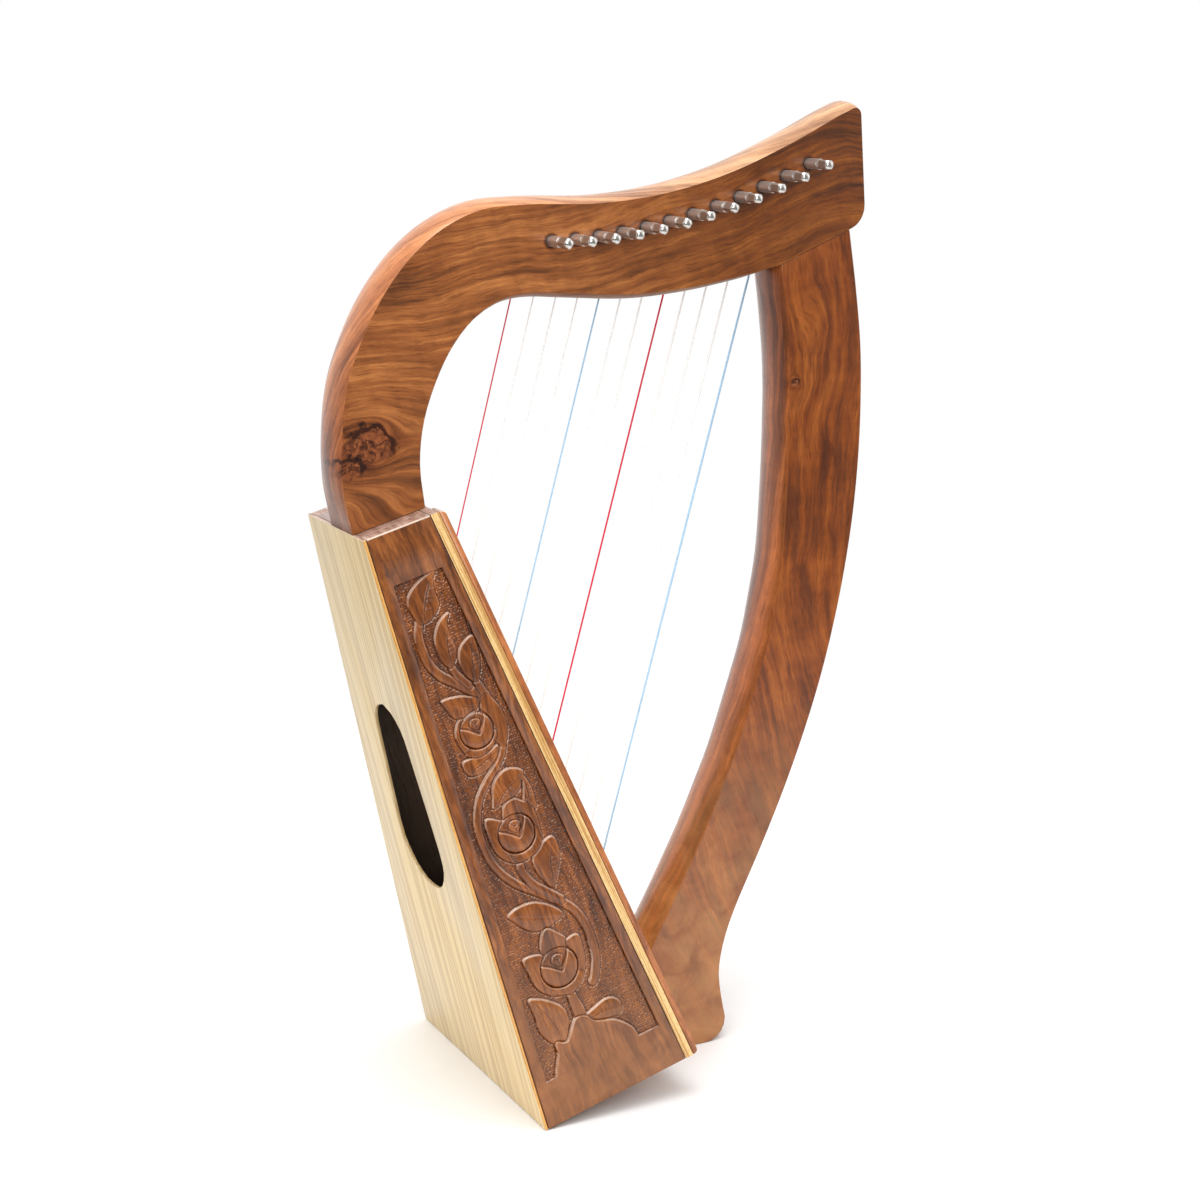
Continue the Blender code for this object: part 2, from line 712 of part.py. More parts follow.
def make_top_block(material):
    def outline(z):
        wide = inside_half_width(z)
        return [
            (inside_back(z), -wide), (inside_front(z), -wide),
            (inside_front(z), wide), (inside_back(z), wide),
        ]
    slab = box_slab((BOX_HEIGHT - TOP_BLOCK_THICKNESS, BOX_HEIGHT), outline)
    block = add_object("top_block", finish_mesh(slab, "top_block", material))
    block.matrix_world = tilt_matrix()
    rear, front, near, far, bottom, top = tenon_mesh_bounds()
    corners = [
        (rear - GAP, near - GAP), (front + GAP, near - GAP),
        (front + GAP, far + GAP), (rear - GAP, far + GAP),
    ]
    rings = [[Vector((x, y, z)) for x, y in corners] for z in (bottom, top)]
    guide = add_object("mortise guide", finish_mesh(loft(rings), "mortise", material))
    guide.matrix_world = tilt_matrix()
    cut_away(block, [guide], "mortise")
    return block


def make_bottom_board(material):
    def outline(z):
        wide = inside_half_width(z)
        return [
            (inside_back(z), -wide), (inside_front(z), -wide),
            (inside_front(z), wide), (inside_back(z), wide),
        ]
    slab = box_slab((0.0, BOTTOM_THICKNESS), outline)
    board = add_object("bottom_board", finish_mesh(slab, "bottom_board", material))
    board.matrix_world = tilt_matrix()
    return board


def make_lower_block(material):
    middle = PLANK_NEAR_Y + PLANK_THICKNESS / 2.0

    def outline(z):
        rear = inside_front(z) - LOWER_BLOCK_DEPTH
        near = middle - LOWER_BLOCK_WIDTH / 2.0
        far = middle + LOWER_BLOCK_WIDTH / 2.0
        return [
            (rear, near), (inside_front(z), near), (inside_front(z), far), (rear, far),
        ]
    low = BOTTOM_THICKNESS + GAP
    slab = box_slab((low, low + LOWER_BLOCK_HEIGHT), outline)
    block = add_object("lower_block", finish_mesh(slab, "lower_block", material))
    block.matrix_world = tilt_matrix()
    return block


# Tuning pins

def square_radius(angle, blend):
    """Radius of a round bar whose four flats are cut in by a share."""
    round_radius = PIN_DIAMETER / 2.0
    quarter = math.pi / 2.0
    local = (angle + quarter / 2.0) % quarter - quarter / 2.0
    flat = PIN_SQUARE_WIDTH / 2.0 / math.cos(local)
    return round_radius + (min(flat, round_radius) - round_radius) * blend


def tuning_pin_mesh(material):
    """The pin along Y, its square head towards -Y, its origin in the middle of the neck."""
    half = PLANK_THICKNESS / 2.0
    head = -half - PIN_HEAD_PROUD
    tail = half + PIN_TAIL_PROUD
    radius = PIN_DIAMETER / 2.0
    stations = []
    for angle in (22, 46, 90):
        drop = PIN_TIP_DOME * (1.0 - math.cos(angle * DEG))
        stations.append((head + drop, 1.0, radius * (1.0 - math.sin(angle * DEG))))
    stations += [
        (head + PIN_SQUARE_LENGTH - PIN_SHOULDER_LENGTH, 1.0, 0.0),
        (head + PIN_SQUARE_LENGTH, 0.0, 0.0),
        (tail - PIN_TAIL_BEVEL, 0.0, 0.0),
        (tail, 0.0, PIN_TAIL_BEVEL),
    ]
    rings = []
    for y, blend, inset in stations:
        ring = []
        for step in range(ROUND_STEPS):
            angle = 2.0 * math.pi * (step + 0.5) / ROUND_STEPS
            reach = square_radius(angle, blend) * (1.0 - inset / radius)
            ring.append(Vector((reach * math.cos(angle), y, reach * math.sin(angle))))
        rings.append(ring)
    return finish_mesh(loft(rings), "tuning_pin", material, 40.0)


def make_tuning_pins(material):
    mesh = tuning_pin_mesh(material)
    for number in range(STRING_COUNT):
        centre = pin_place(number)
        pin = add_object(f"tuning_pin_{number + 1:02d}", mesh)
        pin.location = (centre.x, PLANK_NEAR_Y + PLANK_THICKNESS / 2.0, centre.y)
        pin.rotation_euler = (0.0, PIN_HEAD_TURNS[number % len(PIN_HEAD_TURNS)] * DEG, 0.0)


# Strings

def string_radius(number):
    share = number / max(1, STRING_COUNT - 1)
    thick = STRING_DIAMETER_TREBLE + (STRING_DIAMETER_BASS - STRING_DIAMETER_TREBLE) * share
    return thick / 2.0


def string_height(number):
    """Height up the box at which a string leaves the soundboard."""
    first = BOX_HEIGHT - STRING_TOP_MARGIN
    return first - number * (first - STRING_LAST_HEIGHT) / max(1, STRING_COUNT - 1)


def string_exit(number):
    """World point just over the rib where the string bends towards the neck."""
    z = string_height(number)
    lift = GAP + RIB_THICKNESS + string_radius(number) + GAP
    return from_box(board_face(z, lift), 0.0, z)


def wrap_radius(number):
    return PIN_DIAMETER / 2.0 + GAP + string_radius(number)


def tangent_point(centre, radius, start):
    """Where a line from a point below touches a circle on its forward side."""
    towards = start - centre
    opening = math.acos(radius / towards.length)
    base = math.atan2(towards.y, towards.x)
    angle = base + opening
    return centre + Vector((math.cos(angle), math.sin(angle))) * radius, angle


def straight_run(number):
    """Ends of the straight line that the string would take without its bridge pin."""
    foot = string_exit(number)
    start = Vector((foot.x, foot.z))
    end, _ = tangent_point(pin_place(number), wrap_radius(number), start)
    return start, end


def bridge_contact(number):
    """World (x, z) of the string's centre line beside its bridge pin."""
    start, end = straight_run(number)
    along = (end - start).normalized()
    across = Vector((along.y, -along.x))
    return end - along * BRIDGE_DISTANCE - across * STRING_BEND


def bridge_place(number):
    """World (x, z) of the bridge pin's axis, in front of the string."""
    start, end = straight_run(number)
    along = (end - start).normalized()
    across = Vector((along.y, -along.x))
    reach = BRIDGE_WAIST_DIAMETER / 2.0 + GAP + string_radius(number)
    return bridge_contact(number) + across * reach


def turn_pitch(number):
    return 2.0 * string_radius(number) + TURN_GAP


def helix(centre, radius, start_angle, turns, start_y, pitch):
    """Points of a coil round an axis along Y, anticlockwise seen from the near side."""
    count = round(turns * TURN_STEPS)
    points = []
    for step in range(count + 1):
        angle = start_angle + 2.0 * math.pi * step / TURN_STEPS
        y = start_y + pitch * step / TURN_STEPS
        x = centre.x + radius * math.cos(angle)
        z = centre.y + radius * math.sin(angle)
        points.append(Vector((x, y, z)))
    return points


def least_gap_to_itself(points, radius):
    """Least clear distance between stretches of a tube that aren't neighbours."""
    lengths = [0.0]
    for before, after in zip(points, points[1:]):
        lengths.append(lengths[-1] + (after - before).length)
    least = math.inf
    for i, first in enumerate(points):
        for j in range(i + 1, len(points)):
            if lengths[j] - lengths[i] > 8.0 * radius:
                least = min(least, (first - points[j]).length - 2.0 * radius)
    return least


def make_tube(name, points, radii, material, origin):
    """A round tube along a list of points, as a filled curve."""
    curve = bpy.data.curves.new(name, "CURVE")
    curve.dimensions = "3D"
    curve.bevel_depth = 1.0
    curve.bevel_resolution = 1
    curve.use_fill_caps = True
    spline = curve.splines.new("POLY")
    spline.points.add(len(points) - 1)
    for place, point, radius in zip(spline.points, points, radii):
        place.co = (*(point - origin), 1.0)
        place.radius = radius
    curve.materials.append(material)
    tube = bpy.data.objects.new(name, curve)
    tube.location = origin
    bpy.context.scene.collection.objects.link(tube)
    return tube


def string_color(number):
    """Every C is red and every F is blue, from a C at the treble end down."""
    return {0: "red nylon", 4: "blue nylon"}.get(number % 7, "clear nylon")


def string_path(number):
    """Knot, hole, straight run past the bridge pin, and one turn on the tuning pin."""
    radius = string_radius(number)
    z = string_height(number)
    rear = -BOARD_THICKNESS
    inner = rear - KNOT_SEAT
    heights = [inner - KNOT_LENGTH, inner - KNOT_LENGTH * 0.75, inner - KNOT_LENGTH * 0.25, inner]
    path = [from_box(board_face(z, height), 0.0, z) for height in heights]
    radii = [radius, KNOT_DIAMETER / 2.0, KNOT_DIAMETER / 2.0, radius]
    path.append(string_exit(number))
    far = neck_far_y() + STRING_HEIGHT_FROM_NECK
    contact = bridge_contact(number)
    path.append(Vector((contact.x, far, contact.y)))
    centre = pin_place(number)
    _, angle = tangent_point(centre, wrap_radius(number), contact)
    path += helix(centre, wrap_radius(number), angle, STRING_TURNS, far, turn_pitch(number))
    radii += [radius] * (len(path) - len(radii))
    return path, radii


def make_strings(materials):
    """Each string, and the turns beside it that go round with the tuning pin."""
    gaps = []
    for number in range(STRING_COUNT):
        radius = string_radius(number)
        material = materials[string_color(number)]
        path, radii = string_path(number)
        make_tube(f"string_{number + 1:02d}", path, radii, material, string_exit(number))
        centre = pin_place(number)
        pitch = turn_pitch(number)
        start = neck_far_y() + STRING_HEIGHT_FROM_NECK + (STRING_TURNS + 1.0) * pitch
        coil = helix(centre, wrap_radius(number), 0.0, WINDING_TURNS, start, pitch)
        origin = Vector((centre.x, PLANK_NEAR_Y + PLANK_THICKNESS / 2.0, centre.y))
        name = f"winding_{number + 1:02d}"
        make_tube(name, coil, [radius] * len(coil), material, origin)
        gaps.append(least_gap_to_itself(path[4:], radius))
        gaps.append(least_gap_to_itself(coil, radius))
    print(f"least gap of a string or winding to itself: {min(gaps) / MM:.2f} mm")


# Bridge pins

def make_bridge_pins(material):
    """Small pins with a waist that the string lies in, seated in the far face of the neck."""
    radius = BRIDGE_DIAMETER / 2.0
    waist = BRIDGE_WAIST_DIAMETER / 2.0
    middle = STRING_HEIGHT_FROM_NECK
    flare = (radius - waist) / 2.0
    stations = [
        (-BRIDGE_SEAT_DEPTH, radius),
        (middle - BRIDGE_WAIST_WIDTH / 2.0 - flare, radius),
        (middle - BRIDGE_WAIST_WIDTH / 2.0, waist),
        (middle + BRIDGE_WAIST_WIDTH / 2.0, waist),
        (middle + BRIDGE_WAIST_WIDTH / 2.0 + flare, radius),
        (BRIDGE_PROUD, radius),
    ]
    rings = []
    for y, reach in stations:
        rings.append([
            Vector((
                reach * math.cos(2.0 * math.pi * step / 12),
                y,
                reach * math.sin(2.0 * math.pi * step / 12),
            ))
            for step in range(12)
        ])
    mesh = finish_mesh(loft(rings), "bridge_pin", material, 40.0)
    for number in range(STRING_COUNT):
        place = bridge_place(number)
        pin = add_object(f"bridge_pin_{number + 1:02d}", mesh)
        pin.location = (place.x, neck_far_y(), place.y)


# Assembly

def centre_offset():
    """Shift along X that puts the origin under the middle of the harp."""
    xs = []
    for outline in (neck_outline(), pillar_outline()):
        for point, normal in zip(outline, outward_normals(outline)):
            xs.append((point + normal * CROWN_HEIGHT).x)
    return -(min(xs) + max(xs)) / 2.0


def centre_everything():
    shift = Matrix.Translation((centre_offset(), 0.0, 0.0))
    for item in bpy.data.objects:
        item.matrix_basis = shift @ item.matrix_basis


def build():
    clear_scene()
    materials = make_materials()
    rosewood = materials["rosewood"]
    make_cheek("cheek_right", -1, rosewood)
    make_cheek("cheek_left", 1, rosewood)
    make_back_panel(materials["ash"])
    make_soundboard(materials["ply"])
    make_trim("trim_right", -1, rosewood)
    make_trim("trim_left", 1, rosewood)
    make_string_rib(rosewood)
    make_top_block(rosewood)
    make_bottom_board(rosewood)
    make_lower_block(rosewood)
    make_neck(rosewood)
    make_pillar(rosewood)
    make_tuning_pins(materials["nickel"])
    make_bridge_pins(materials["brass"])
    make_strings(materials)
    centre_everything()


build()
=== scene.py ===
"""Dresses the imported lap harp: lacquered rosewood, pale panels, carving, strings and pins."""
import math

import bmesh
import bpy
import numpy as np
from mathutils import Matrix, Vector


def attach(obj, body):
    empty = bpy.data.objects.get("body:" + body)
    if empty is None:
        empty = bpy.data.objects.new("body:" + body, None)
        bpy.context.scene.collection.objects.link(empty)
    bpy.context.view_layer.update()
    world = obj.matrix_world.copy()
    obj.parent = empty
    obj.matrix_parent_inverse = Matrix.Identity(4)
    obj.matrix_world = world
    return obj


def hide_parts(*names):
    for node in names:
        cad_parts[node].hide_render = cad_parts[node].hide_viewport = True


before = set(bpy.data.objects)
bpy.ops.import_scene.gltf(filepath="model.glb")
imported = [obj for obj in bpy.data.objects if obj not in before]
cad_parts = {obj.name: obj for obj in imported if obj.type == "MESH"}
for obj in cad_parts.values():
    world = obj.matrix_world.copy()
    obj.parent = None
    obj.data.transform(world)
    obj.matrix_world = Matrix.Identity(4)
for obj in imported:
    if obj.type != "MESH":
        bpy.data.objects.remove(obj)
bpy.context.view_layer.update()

MM = 0.001
DEG = math.pi / 180.0

# Camera and floor
CAMERA_PLACE = Vector((-0.5040, -0.9711, 0.5090))
CAMERA_HEADING = 27.57 * DEG
CAMERA_DIP = 13.52 * DEG
CAMERA_LENS = 66.2
FLOOR_RADIUS = 1.1
FLOOR_CLEAR_FROM = 0.45
FLOOR_CLEAR_TO = 1.05

# The soundbox, as the part is built
SHIFT_X = -66.338 * MM
BOX_TILT = 15.07 * DEG
BOX_HEIGHT = 306.0 * MM
HALF_WIDTH_BOTTOM = 75.0 * MM
HALF_WIDTH_TOP = 36.4 * MM
BACK_RAKE = 6.5 * MM
DEPTH_BOTTOM = 82.4 * MM
DEPTH_TOP = 35.4 * MM
HOLE_REACH = 30.0 * MM
TOP_REACH = 318.0 * MM
UP_BOX = (-math.sin(BOX_TILT), 0.0, math.cos(BOX_TILT))
OUT_OF_BACK = (math.cos(BOX_TILT), 0.0, math.sin(BOX_TILT))


def box_to_world():
    """World matrix of the soundbox's own axes."""
    return Matrix.Translation((SHIFT_X, 0.0, 0.0)) @ Matrix.Rotation(-BOX_TILT, 4, "Y")


# Node helpers

class Shader:
    """A material under construction: adds nodes and joins them."""

    SOCKETS = {
        "roughness": "Roughness", "metallic": "Metallic", "coat": "Coat Weight",
        "coat_roughness": "Coat Roughness", "ior": "IOR", "transmission": "Transmission Weight",
        "specular": "Specular IOR Level",
    }

    def __init__(self, name):
        self.material = bpy.data.materials.new(name)
        self.material.use_nodes = True
        self.tree = self.material.node_tree
        self.bsdf = self.tree.nodes["Principled BSDF"]

    def node(self, kind, **settings):
        made = self.tree.nodes.new(kind)
        for key, value in settings.items():
            setattr(made, key, value)
        return made

    def link(self, source, target):
        self.tree.links.new(source, target)

    def feed(self, value, target):
        """Sets a socket from a number or tuple, or links it."""
        if isinstance(value, (int, float, tuple)):
            target.default_value = value
        else:
            self.link(value, target)

    def place(self):
        return self.node("ShaderNodeTexCoord").outputs["Object"]

    def normal(self):
        return self.node("ShaderNodeNewGeometry").outputs["Normal"]

    def attribute(self, name):
        return self.node("ShaderNodeAttribute", attribute_name=name).outputs["Fac"]

    def noise(self, vector, scale, detail=4.0, roughness=0.55, distortion=0.0):
        made = self.node("ShaderNodeTexNoise")
        made.inputs["Scale"].default_value = scale
        made.inputs["Detail"].default_value = detail
        made.inputs["Roughness"].default_value = roughness
        made.inputs["Distortion"].default_value = distortion
        self.link(vector, made.inputs["Vector"])
        return made.outputs["Fac"]

    def ramp(self, factor, stops):
        made = self.node("ShaderNodeValToRGB")
        elements = made.color_ramp.elements
        while len(elements) < len(stops):
            elements.new(0.5)
        for element, (place, color) in zip(elements, stops):
            element.position = place
            element.color = (*color, 1.0)
        self.link(factor, made.inputs["Fac"])
        return made.outputs["Color"]

    def mix(self, factor, first, second, blend="MIX"):
        made = self.node("ShaderNodeMix", data_type="RGBA", blend_type=blend)
        self.feed(factor, made.inputs[0])
        self.feed(first, made.inputs[6])
        self.feed(second, made.inputs[7])
        return made.outputs[2]

    def math(self, operation, first, second=0.0):
        made = self.node("ShaderNodeMath", operation=operation)
        self.feed(first, made.inputs[0])
        self.feed(second, made.inputs[1])
        return made.outputs[0]

    def dot(self, vector, axis):
        """The part of a vector along an axis."""
        made = self.node("ShaderNodeVectorMath", operation="DOT_PRODUCT")
        self.link(vector, made.inputs[0])
        made.inputs[1].default_value = axis
        return made.outputs["Value"]

    def join(self, x, y, z):
        made = self.node("ShaderNodeCombineXYZ")
        for slot, value in enumerate((x, y, z)):
            self.feed(value, made.inputs[slot])
        return made.outputs["Vector"]

    def span(self, factor, low, high, to_low=0.0, to_high=1.0):
        """Maps low..high to to_low..to_high and holds the ends."""
        made = self.node("ShaderNodeMapRange")
        for key, value in zip(("From Min", "From Max", "To Min", "To Max"), (low, high, to_low, to_high)):
            made.inputs[key].default_value = value
        self.link(factor, made.inputs["Value"])
        return made.outputs["Result"]

    def tint(self, color, factor, stops, strength=1.0):
        """Multiplies a colour by a ramp."""
        return self.mix(strength, color, self.ramp(factor, stops), "MULTIPLY")

    def bump(self, height, strength, distance):
        made = self.node("ShaderNodeBump")
        made.inputs["Strength"].default_value = strength
        made.inputs["Distance"].default_value = distance
        self.link(height, made.inputs["Height"])
        self.link(made.outputs["Normal"], self.bsdf.inputs["Normal"])

    def color(self, output):
        self.link(output, self.bsdf.inputs["Base Color"])

    def wood_color(self):
        return self.bsdf.inputs["Base Color"].links[0].from_socket

    def put(self, **values):
        for key, value in values.items():
            self.bsdf.inputs[self.SOCKETS[key]].default_value = value


# Materials

NECK_TONES = ((0.135, 0.044, 0.013), (0.330, 0.108, 0.029), (0.520, 0.200, 0.060))
NECK_CROWN_TONES = ((0.230, 0.090, 0.034), (0.460, 0.200, 0.080), (0.640, 0.330, 0.150))
PILLAR_TONES = ((0.135, 0.031, 0.004), (0.257, 0.060, 0.007), (0.378, 0.104, 0.015))
PILLAR_CROWN_TONES = ((0.125, 0.036, 0.010), (0.275, 0.076, 0.018), (0.480, 0.140, 0.034))
CHEEK_TONES = ((0.088, 0.026, 0.007), (0.226, 0.068, 0.016), (0.380, 0.128, 0.032))
EDGE_TONES = ((0.260, 0.080, 0.023), (0.475, 0.155, 0.045), (0.620, 0.235, 0.074))
# Up-facing wood: pale tones that are partly a painted reflection of the light above, and a painted highlight for edges
# that face partly up
TOP_TONES = ((0.270, 0.150, 0.110), (0.420, 0.265, 0.205), (0.600, 0.430, 0.350))
TOP_RIM_HIGHLIGHT = (0.70, 0.55, 0.44, 1.0)
WHITE = (1.0, 1.0, 1.0)

SHARP_ANGLE = 32.0 * DEG
EDGE_SOFTENING = 0.5 * MM
BOARD_SOFTENING = 0.35 * MM
NECK_GRAIN = 17.5 * DEG
PILLAR_GRAIN = 91.0 * DEG
CHEEK_GRAIN = 108.0 * DEG
BOARD_GRAIN = 112.6 * DEG

# Each bend: where along the grain it starts, which way it goes on, and how hard it turns
NECK_BENDS = ((0.155, -1.0, -0.90), (0.236, 1.0, 6.5))
PILLAR_BENDS = ((0.30, -1.0, 1.1),)

# Each knot: x, z, radius and how firm its heart is. The soft ones only bend the grain.
FIRM = 0.22
SOFT = 1.25
SHOULDER_KNOT = (-0.1305, 0.3392, 0.0122, FIRM)
SHOULDER_SECOND_KNOT = (-0.1398, 0.3285, 0.0066, FIRM)
SHOULDER_SWIRLS = ((-0.1130, 0.3120, 0.0150, SOFT), (-0.1380, 0.3060, 0.0120, SOFT))
PILLAR_KNOT = (0.1032, 0.3535, 0.0030, FIRM)
PILLAR_SWIRLS = ((0.1120, 0.3900, 0.0110, SOFT), (0.1010, 0.0560, 0.0150, SOFT), (0.1190, 0.0900, 0.0100, SOFT))


def grain_field(s, angle, bends=(), knots=()):
    """Coordinates of the grain in a plank that stands along X and Z: across it, through it, along it.

    Lines bend where the bends say, and flow round each knot as water flows round a post.
    """
    point = s.place()
    along_axis = Vector((math.cos(angle), 0.0, math.sin(angle)))
    across_axis = Vector((-math.sin(angle), 0.0, math.cos(angle)))
    along = s.dot(point, along_axis)
    across = s.dot(point, across_axis)
    through = s.dot(point, (0.0, 1.0, 0.0))
    for start, way, pull in bends:
        past = s.math("MAXIMUM", s.math("MULTIPLY", s.math("SUBTRACT", along, start), way), 0.0)
        across = s.math("ADD", across, s.math("MULTIPLY", s.math("MULTIPLY", past, past), pull))
    wide = s.noise(s.join(along, through, across), 11.0, 1.0, 0.5)
    across = s.math("ADD", across, s.math("MULTIPLY", wide, 0.026))
    for x, z, radius, heart in knots:
        centre = Vector((x, 0.0, z))
        lengthwise = s.math("MULTIPLY", s.math("SUBTRACT", along, centre.dot(along_axis)), 0.8)
        flat = s.dot(point, across_axis)
        sideways = s.math("SUBTRACT", flat, centre.dot(across_axis))
        square = s.math("ADD", s.math("MULTIPLY", lengthwise, lengthwise), s.math("MULTIPLY", sideways, sideways))
        pull = s.math("DIVIDE", radius * radius, s.math("ADD", square, radius * radius * heart))
        across = s.math("SUBTRACT", across, s.math("MULTIPLY", sideways, pull))
    small = s.noise(s.join(along, through, across), 75.0, 2.0, 0.5)
    across = s.math("ADD", across, s.math("MULTIPLY", small, 0.0035))
    return across, through, along


def stretched(s, field, stretch, seed):
    """The grain's coordinates with its length drawn out, so that a texture becomes streaks."""
    across, through, along = field
    return s.join(across, s.math("MULTIPLY", through, 0.7), s.math("ADD", s.math("MULTIPLY", along, stretch), seed))


def knot_core(s, wood, knots):
    """Dark cracked burl in the middle of each knot."""
    point = s.place()
    warp = s.noise(point, 110.0, 3.0, 0.55)
    burl = s.noise(point, 190.0, 4.0, 0.6, 1.4)
    crack_noise = s.noise(point, 120.0, 3.0, 0.55, 1.0)
    crack = s.span(s.math("ABSOLUTE", s.math("SUBTRACT", crack_noise, 0.5)), 0.045, 0.010)
    for x, z, radius, _ in knots:
        offset = s.join(
            s.math("SUBTRACT", s.dot(point, (1.0, 0.0, 0.0)), x), 0.0,
            s.math("MULTIPLY", s.math("SUBTRACT", s.dot(point, (0.0, 0.0, 1.0)), z), 1.35),
        )
        length = s.node("ShaderNodeVectorMath", operation="LENGTH")
        s.link(offset, length.inputs[0])
        share = s.math("DIVIDE", length.outputs["Value"], radius)
        share = s.math("ADD", share, s.span(warp, 0.3, 0.7, -0.35, 0.35))
        inner = s.span(share, 1.12, 0.80)
        core = s.ramp(burl, [(0.34, (0.110, 0.036, 0.015)), (0.48, (0.270, 0.082, 0.026)), (0.62, (0.420, 0.140, 0.046))])
        core = s.tint(core, crack, [(0.0, WHITE), (1.0, (0.30, 0.26, 0.26))])
        wood = s.mix(inner, wood, core)
        rim = s.math("MULTIPLY", s.span(share, 0.78, 0.98), s.span(share, 1.30, 1.02))
        top = s.span(s.math("SUBTRACT", s.dot(point, (0.35, 0.0, 1.0)), z + 0.35 * x), -0.5 * radius, 0.35 * radius)
        halo = s.span(share, 2.3, 1.0)
        wood = s.tint(wood, halo, [(0.0, WHITE), (1.0, (0.66, 0.56, 0.52))], 0.75)
        wood = s.tint(wood, s.math("MULTIPLY", rim, top), [(0.1, WHITE), (0.7, (0.20, 0.15, 0.15))])
    return wood


def figured(s, field, tones, seed, contrast, mottle, fine, streaks):
    """Rosewood's colour for the grain's coordinates. Returns its fine lines and pores too."""
    dark, middle, light = tones
    lines = s.noise(stretched(s, field, 0.045, seed), 210.0 * fine, 6.0, 0.62, 0.25)
    bands = s.noise(stretched(s, field, 0.10, seed + 3.1), 42.0 * fine, 3.0, 0.55, 0.4)
    blotches = s.noise(stretched(s, field, 0.35, seed + 6.3), 60.0, 4.0, 0.6, 0.6)
    figure = s.math("ADD", s.math("MULTIPLY", lines, 0.62 * contrast), s.math("MULTIPLY", bands, 0.38))
    figure = s.math("ADD", figure, s.span(blotches, 0.3, 0.7, -0.09 * mottle, 0.09 * mottle))
    figure = s.math("SUBTRACT", figure, 0.31 * (contrast - 1.0))
    wood = s.ramp(figure, [(0.39, dark), (0.50, middle), (0.61, light)])
    vein_noise = s.noise(stretched(s, field, 0.055, seed + 9.7), 62.0 * fine, 4.0, 0.55, 0.5)
    vein = s.span(s.math("ABSOLUTE", s.math("SUBTRACT", vein_noise, 0.5)), 0.030, 0.004)
    where = s.span(s.noise(stretched(s, field, 0.6, seed + 12.0), 17.0, 2.0, 0.5), 0.44, 0.62)
    wood = s.tint(wood, s.math("MULTIPLY", vein, where), [(0.0, WHITE), (1.0, (0.40, 0.32, 0.30))], streaks)
    broad = s.span(s.noise(stretched(s, field, 0.16, seed + 15.0), 26.0 * fine, 3.0, 0.6, 0.8), 0.50, 0.66)
    wood = s.tint(wood, broad, [(0.0, WHITE), (1.0, (0.66, 0.56, 0.50))], 0.85 * streaks)
    pores = s.noise(stretched(s, field, 0.09, seed), 1500.0, 2.0, 0.6)
    wood = s.tint(wood, pores, [(0.33, (0.50, 0.42, 0.38)), (0.46, WHITE), (0.66, (1.16, 1.16, 1.14))], 0.55)
    across, through, along = field
    shimmer = s.noise(s.join(s.math("MULTIPLY", across, 0.30), through, along), 130.0, 3.0, 0.6, 0.5)
    wood = s.tint(wood, shimmer, [(0.35, (0.84, 0.82, 0.80)), (0.62, (1.12, 1.13, 1.14))], 0.6)
    return wood, lines, pores


def rosewood(
    name, tones, field_of, seed=0.0, gloss=0.24, contrast=1.0, mottle=0.5, fine=1.0, coat=0.30, crown=None, streaks=0.6,
    face_tint=None,
):
    """Figured rosewood under clear lacquer. field_of gives the grain's coordinates.

    crown gives the field, tones and tint of the faces that don't point along Y, such as crowned edges; those that look
    down get painted shade.
    A tint is a span along X and the two colours at its ends.
    """
    s = Shader(name)
    wood, lines, pores = figured(s, field_of(s), tones, seed, contrast, mottle, fine, streaks)
    if face_tint is not None:
        wood = tint_along(s, wood, *face_tint)
    if crown is not None:
        crown_field_of, crown_tones, crown_tint = crown
        edge = figured(s, crown_field_of(s), crown_tones, seed + 20.0, 1.0, 0.3, 1.1, streaks)[0]
        edge = tint_along(s, edge, *crown_tint)
        # Painted shade: the crown's faces that look down are darkened
        painted_underside_shade = s.span(s.dot(s.normal(), (0.0, 0.0, 1.0)), -0.35, 0.0)
        edge = s.tint(edge, painted_underside_shade, [(0.0, (0.42, 0.36, 0.32)), (1.0, WHITE)])
        facing = s.span(s.math("ABSOLUTE", s.dot(s.normal(), (0.0, 1.0, 0.0))), 0.60, 0.85)
        wood = s.mix(facing, edge, wood)
    s.color(wood)
    s.link(s.span(lines, 0.3, 0.7, gloss + 0.10, gloss), s.bsdf.inputs["Roughness"])
    s.put(coat_roughness=0.16)
    down = s.dot(s.normal(), (0.0, 0.0, 1.0))
    s.link(s.span(down, -0.40, -0.10, 0.04, 0.45), s.bsdf.inputs["Specular IOR Level"])
    s.link(s.span(down, -0.40, -0.10, 0.0, coat), s.bsdf.inputs["Coat Weight"])
    s.bump(pores, 0.10, 0.0002)
    return s


def tint_along(s, color, low, high, first, last):
    """Multiplies a colour by one that changes along X."""
    return s.tint(color, s.span(s.dot(s.place(), (1.0, 0.0, 0.0)), low, high), [(0.0, first), (1.0, last)])


def pale_ends_and_sheen(s, lowest=0.0):
    """Pale wood on the faces that look up the soundbox, partly a painted reflection of the light above, with a painted
    highlight on the edges that face partly up.
    """
    up = s.dot(s.normal(), UP_BOX)
    if lowest > 0.0:
        up = s.math("MULTIPLY", up, s.span(s.dot(s.place(), UP_BOX), lowest, lowest + 1.0 * MM))
    dark, middle, light = TOP_TONES
    grain = s.noise(s.join(s.dot(s.place(), (0.0, 0.12, 0.0)), s.dot(s.place(), (1.0, 0.0, 0.2)), 0.0), 420.0, 4.0, 0.6)
    end = s.ramp(grain, [(0.36, dark), (0.50, middle), (0.64, light)])
    wood = s.mix(s.span(up, 0.86, 0.95), s.wood_color(), end)
    # Painted highlight on the edges that face partly up
    rim = s.math("MULTIPLY", s.span(up, 0.30, 0.50), s.span(up, 0.96, 0.88))
    s.color(s.mix(s.math("MULTIPLY", rim, 0.85), wood, TOP_RIM_HIGHLIGHT))


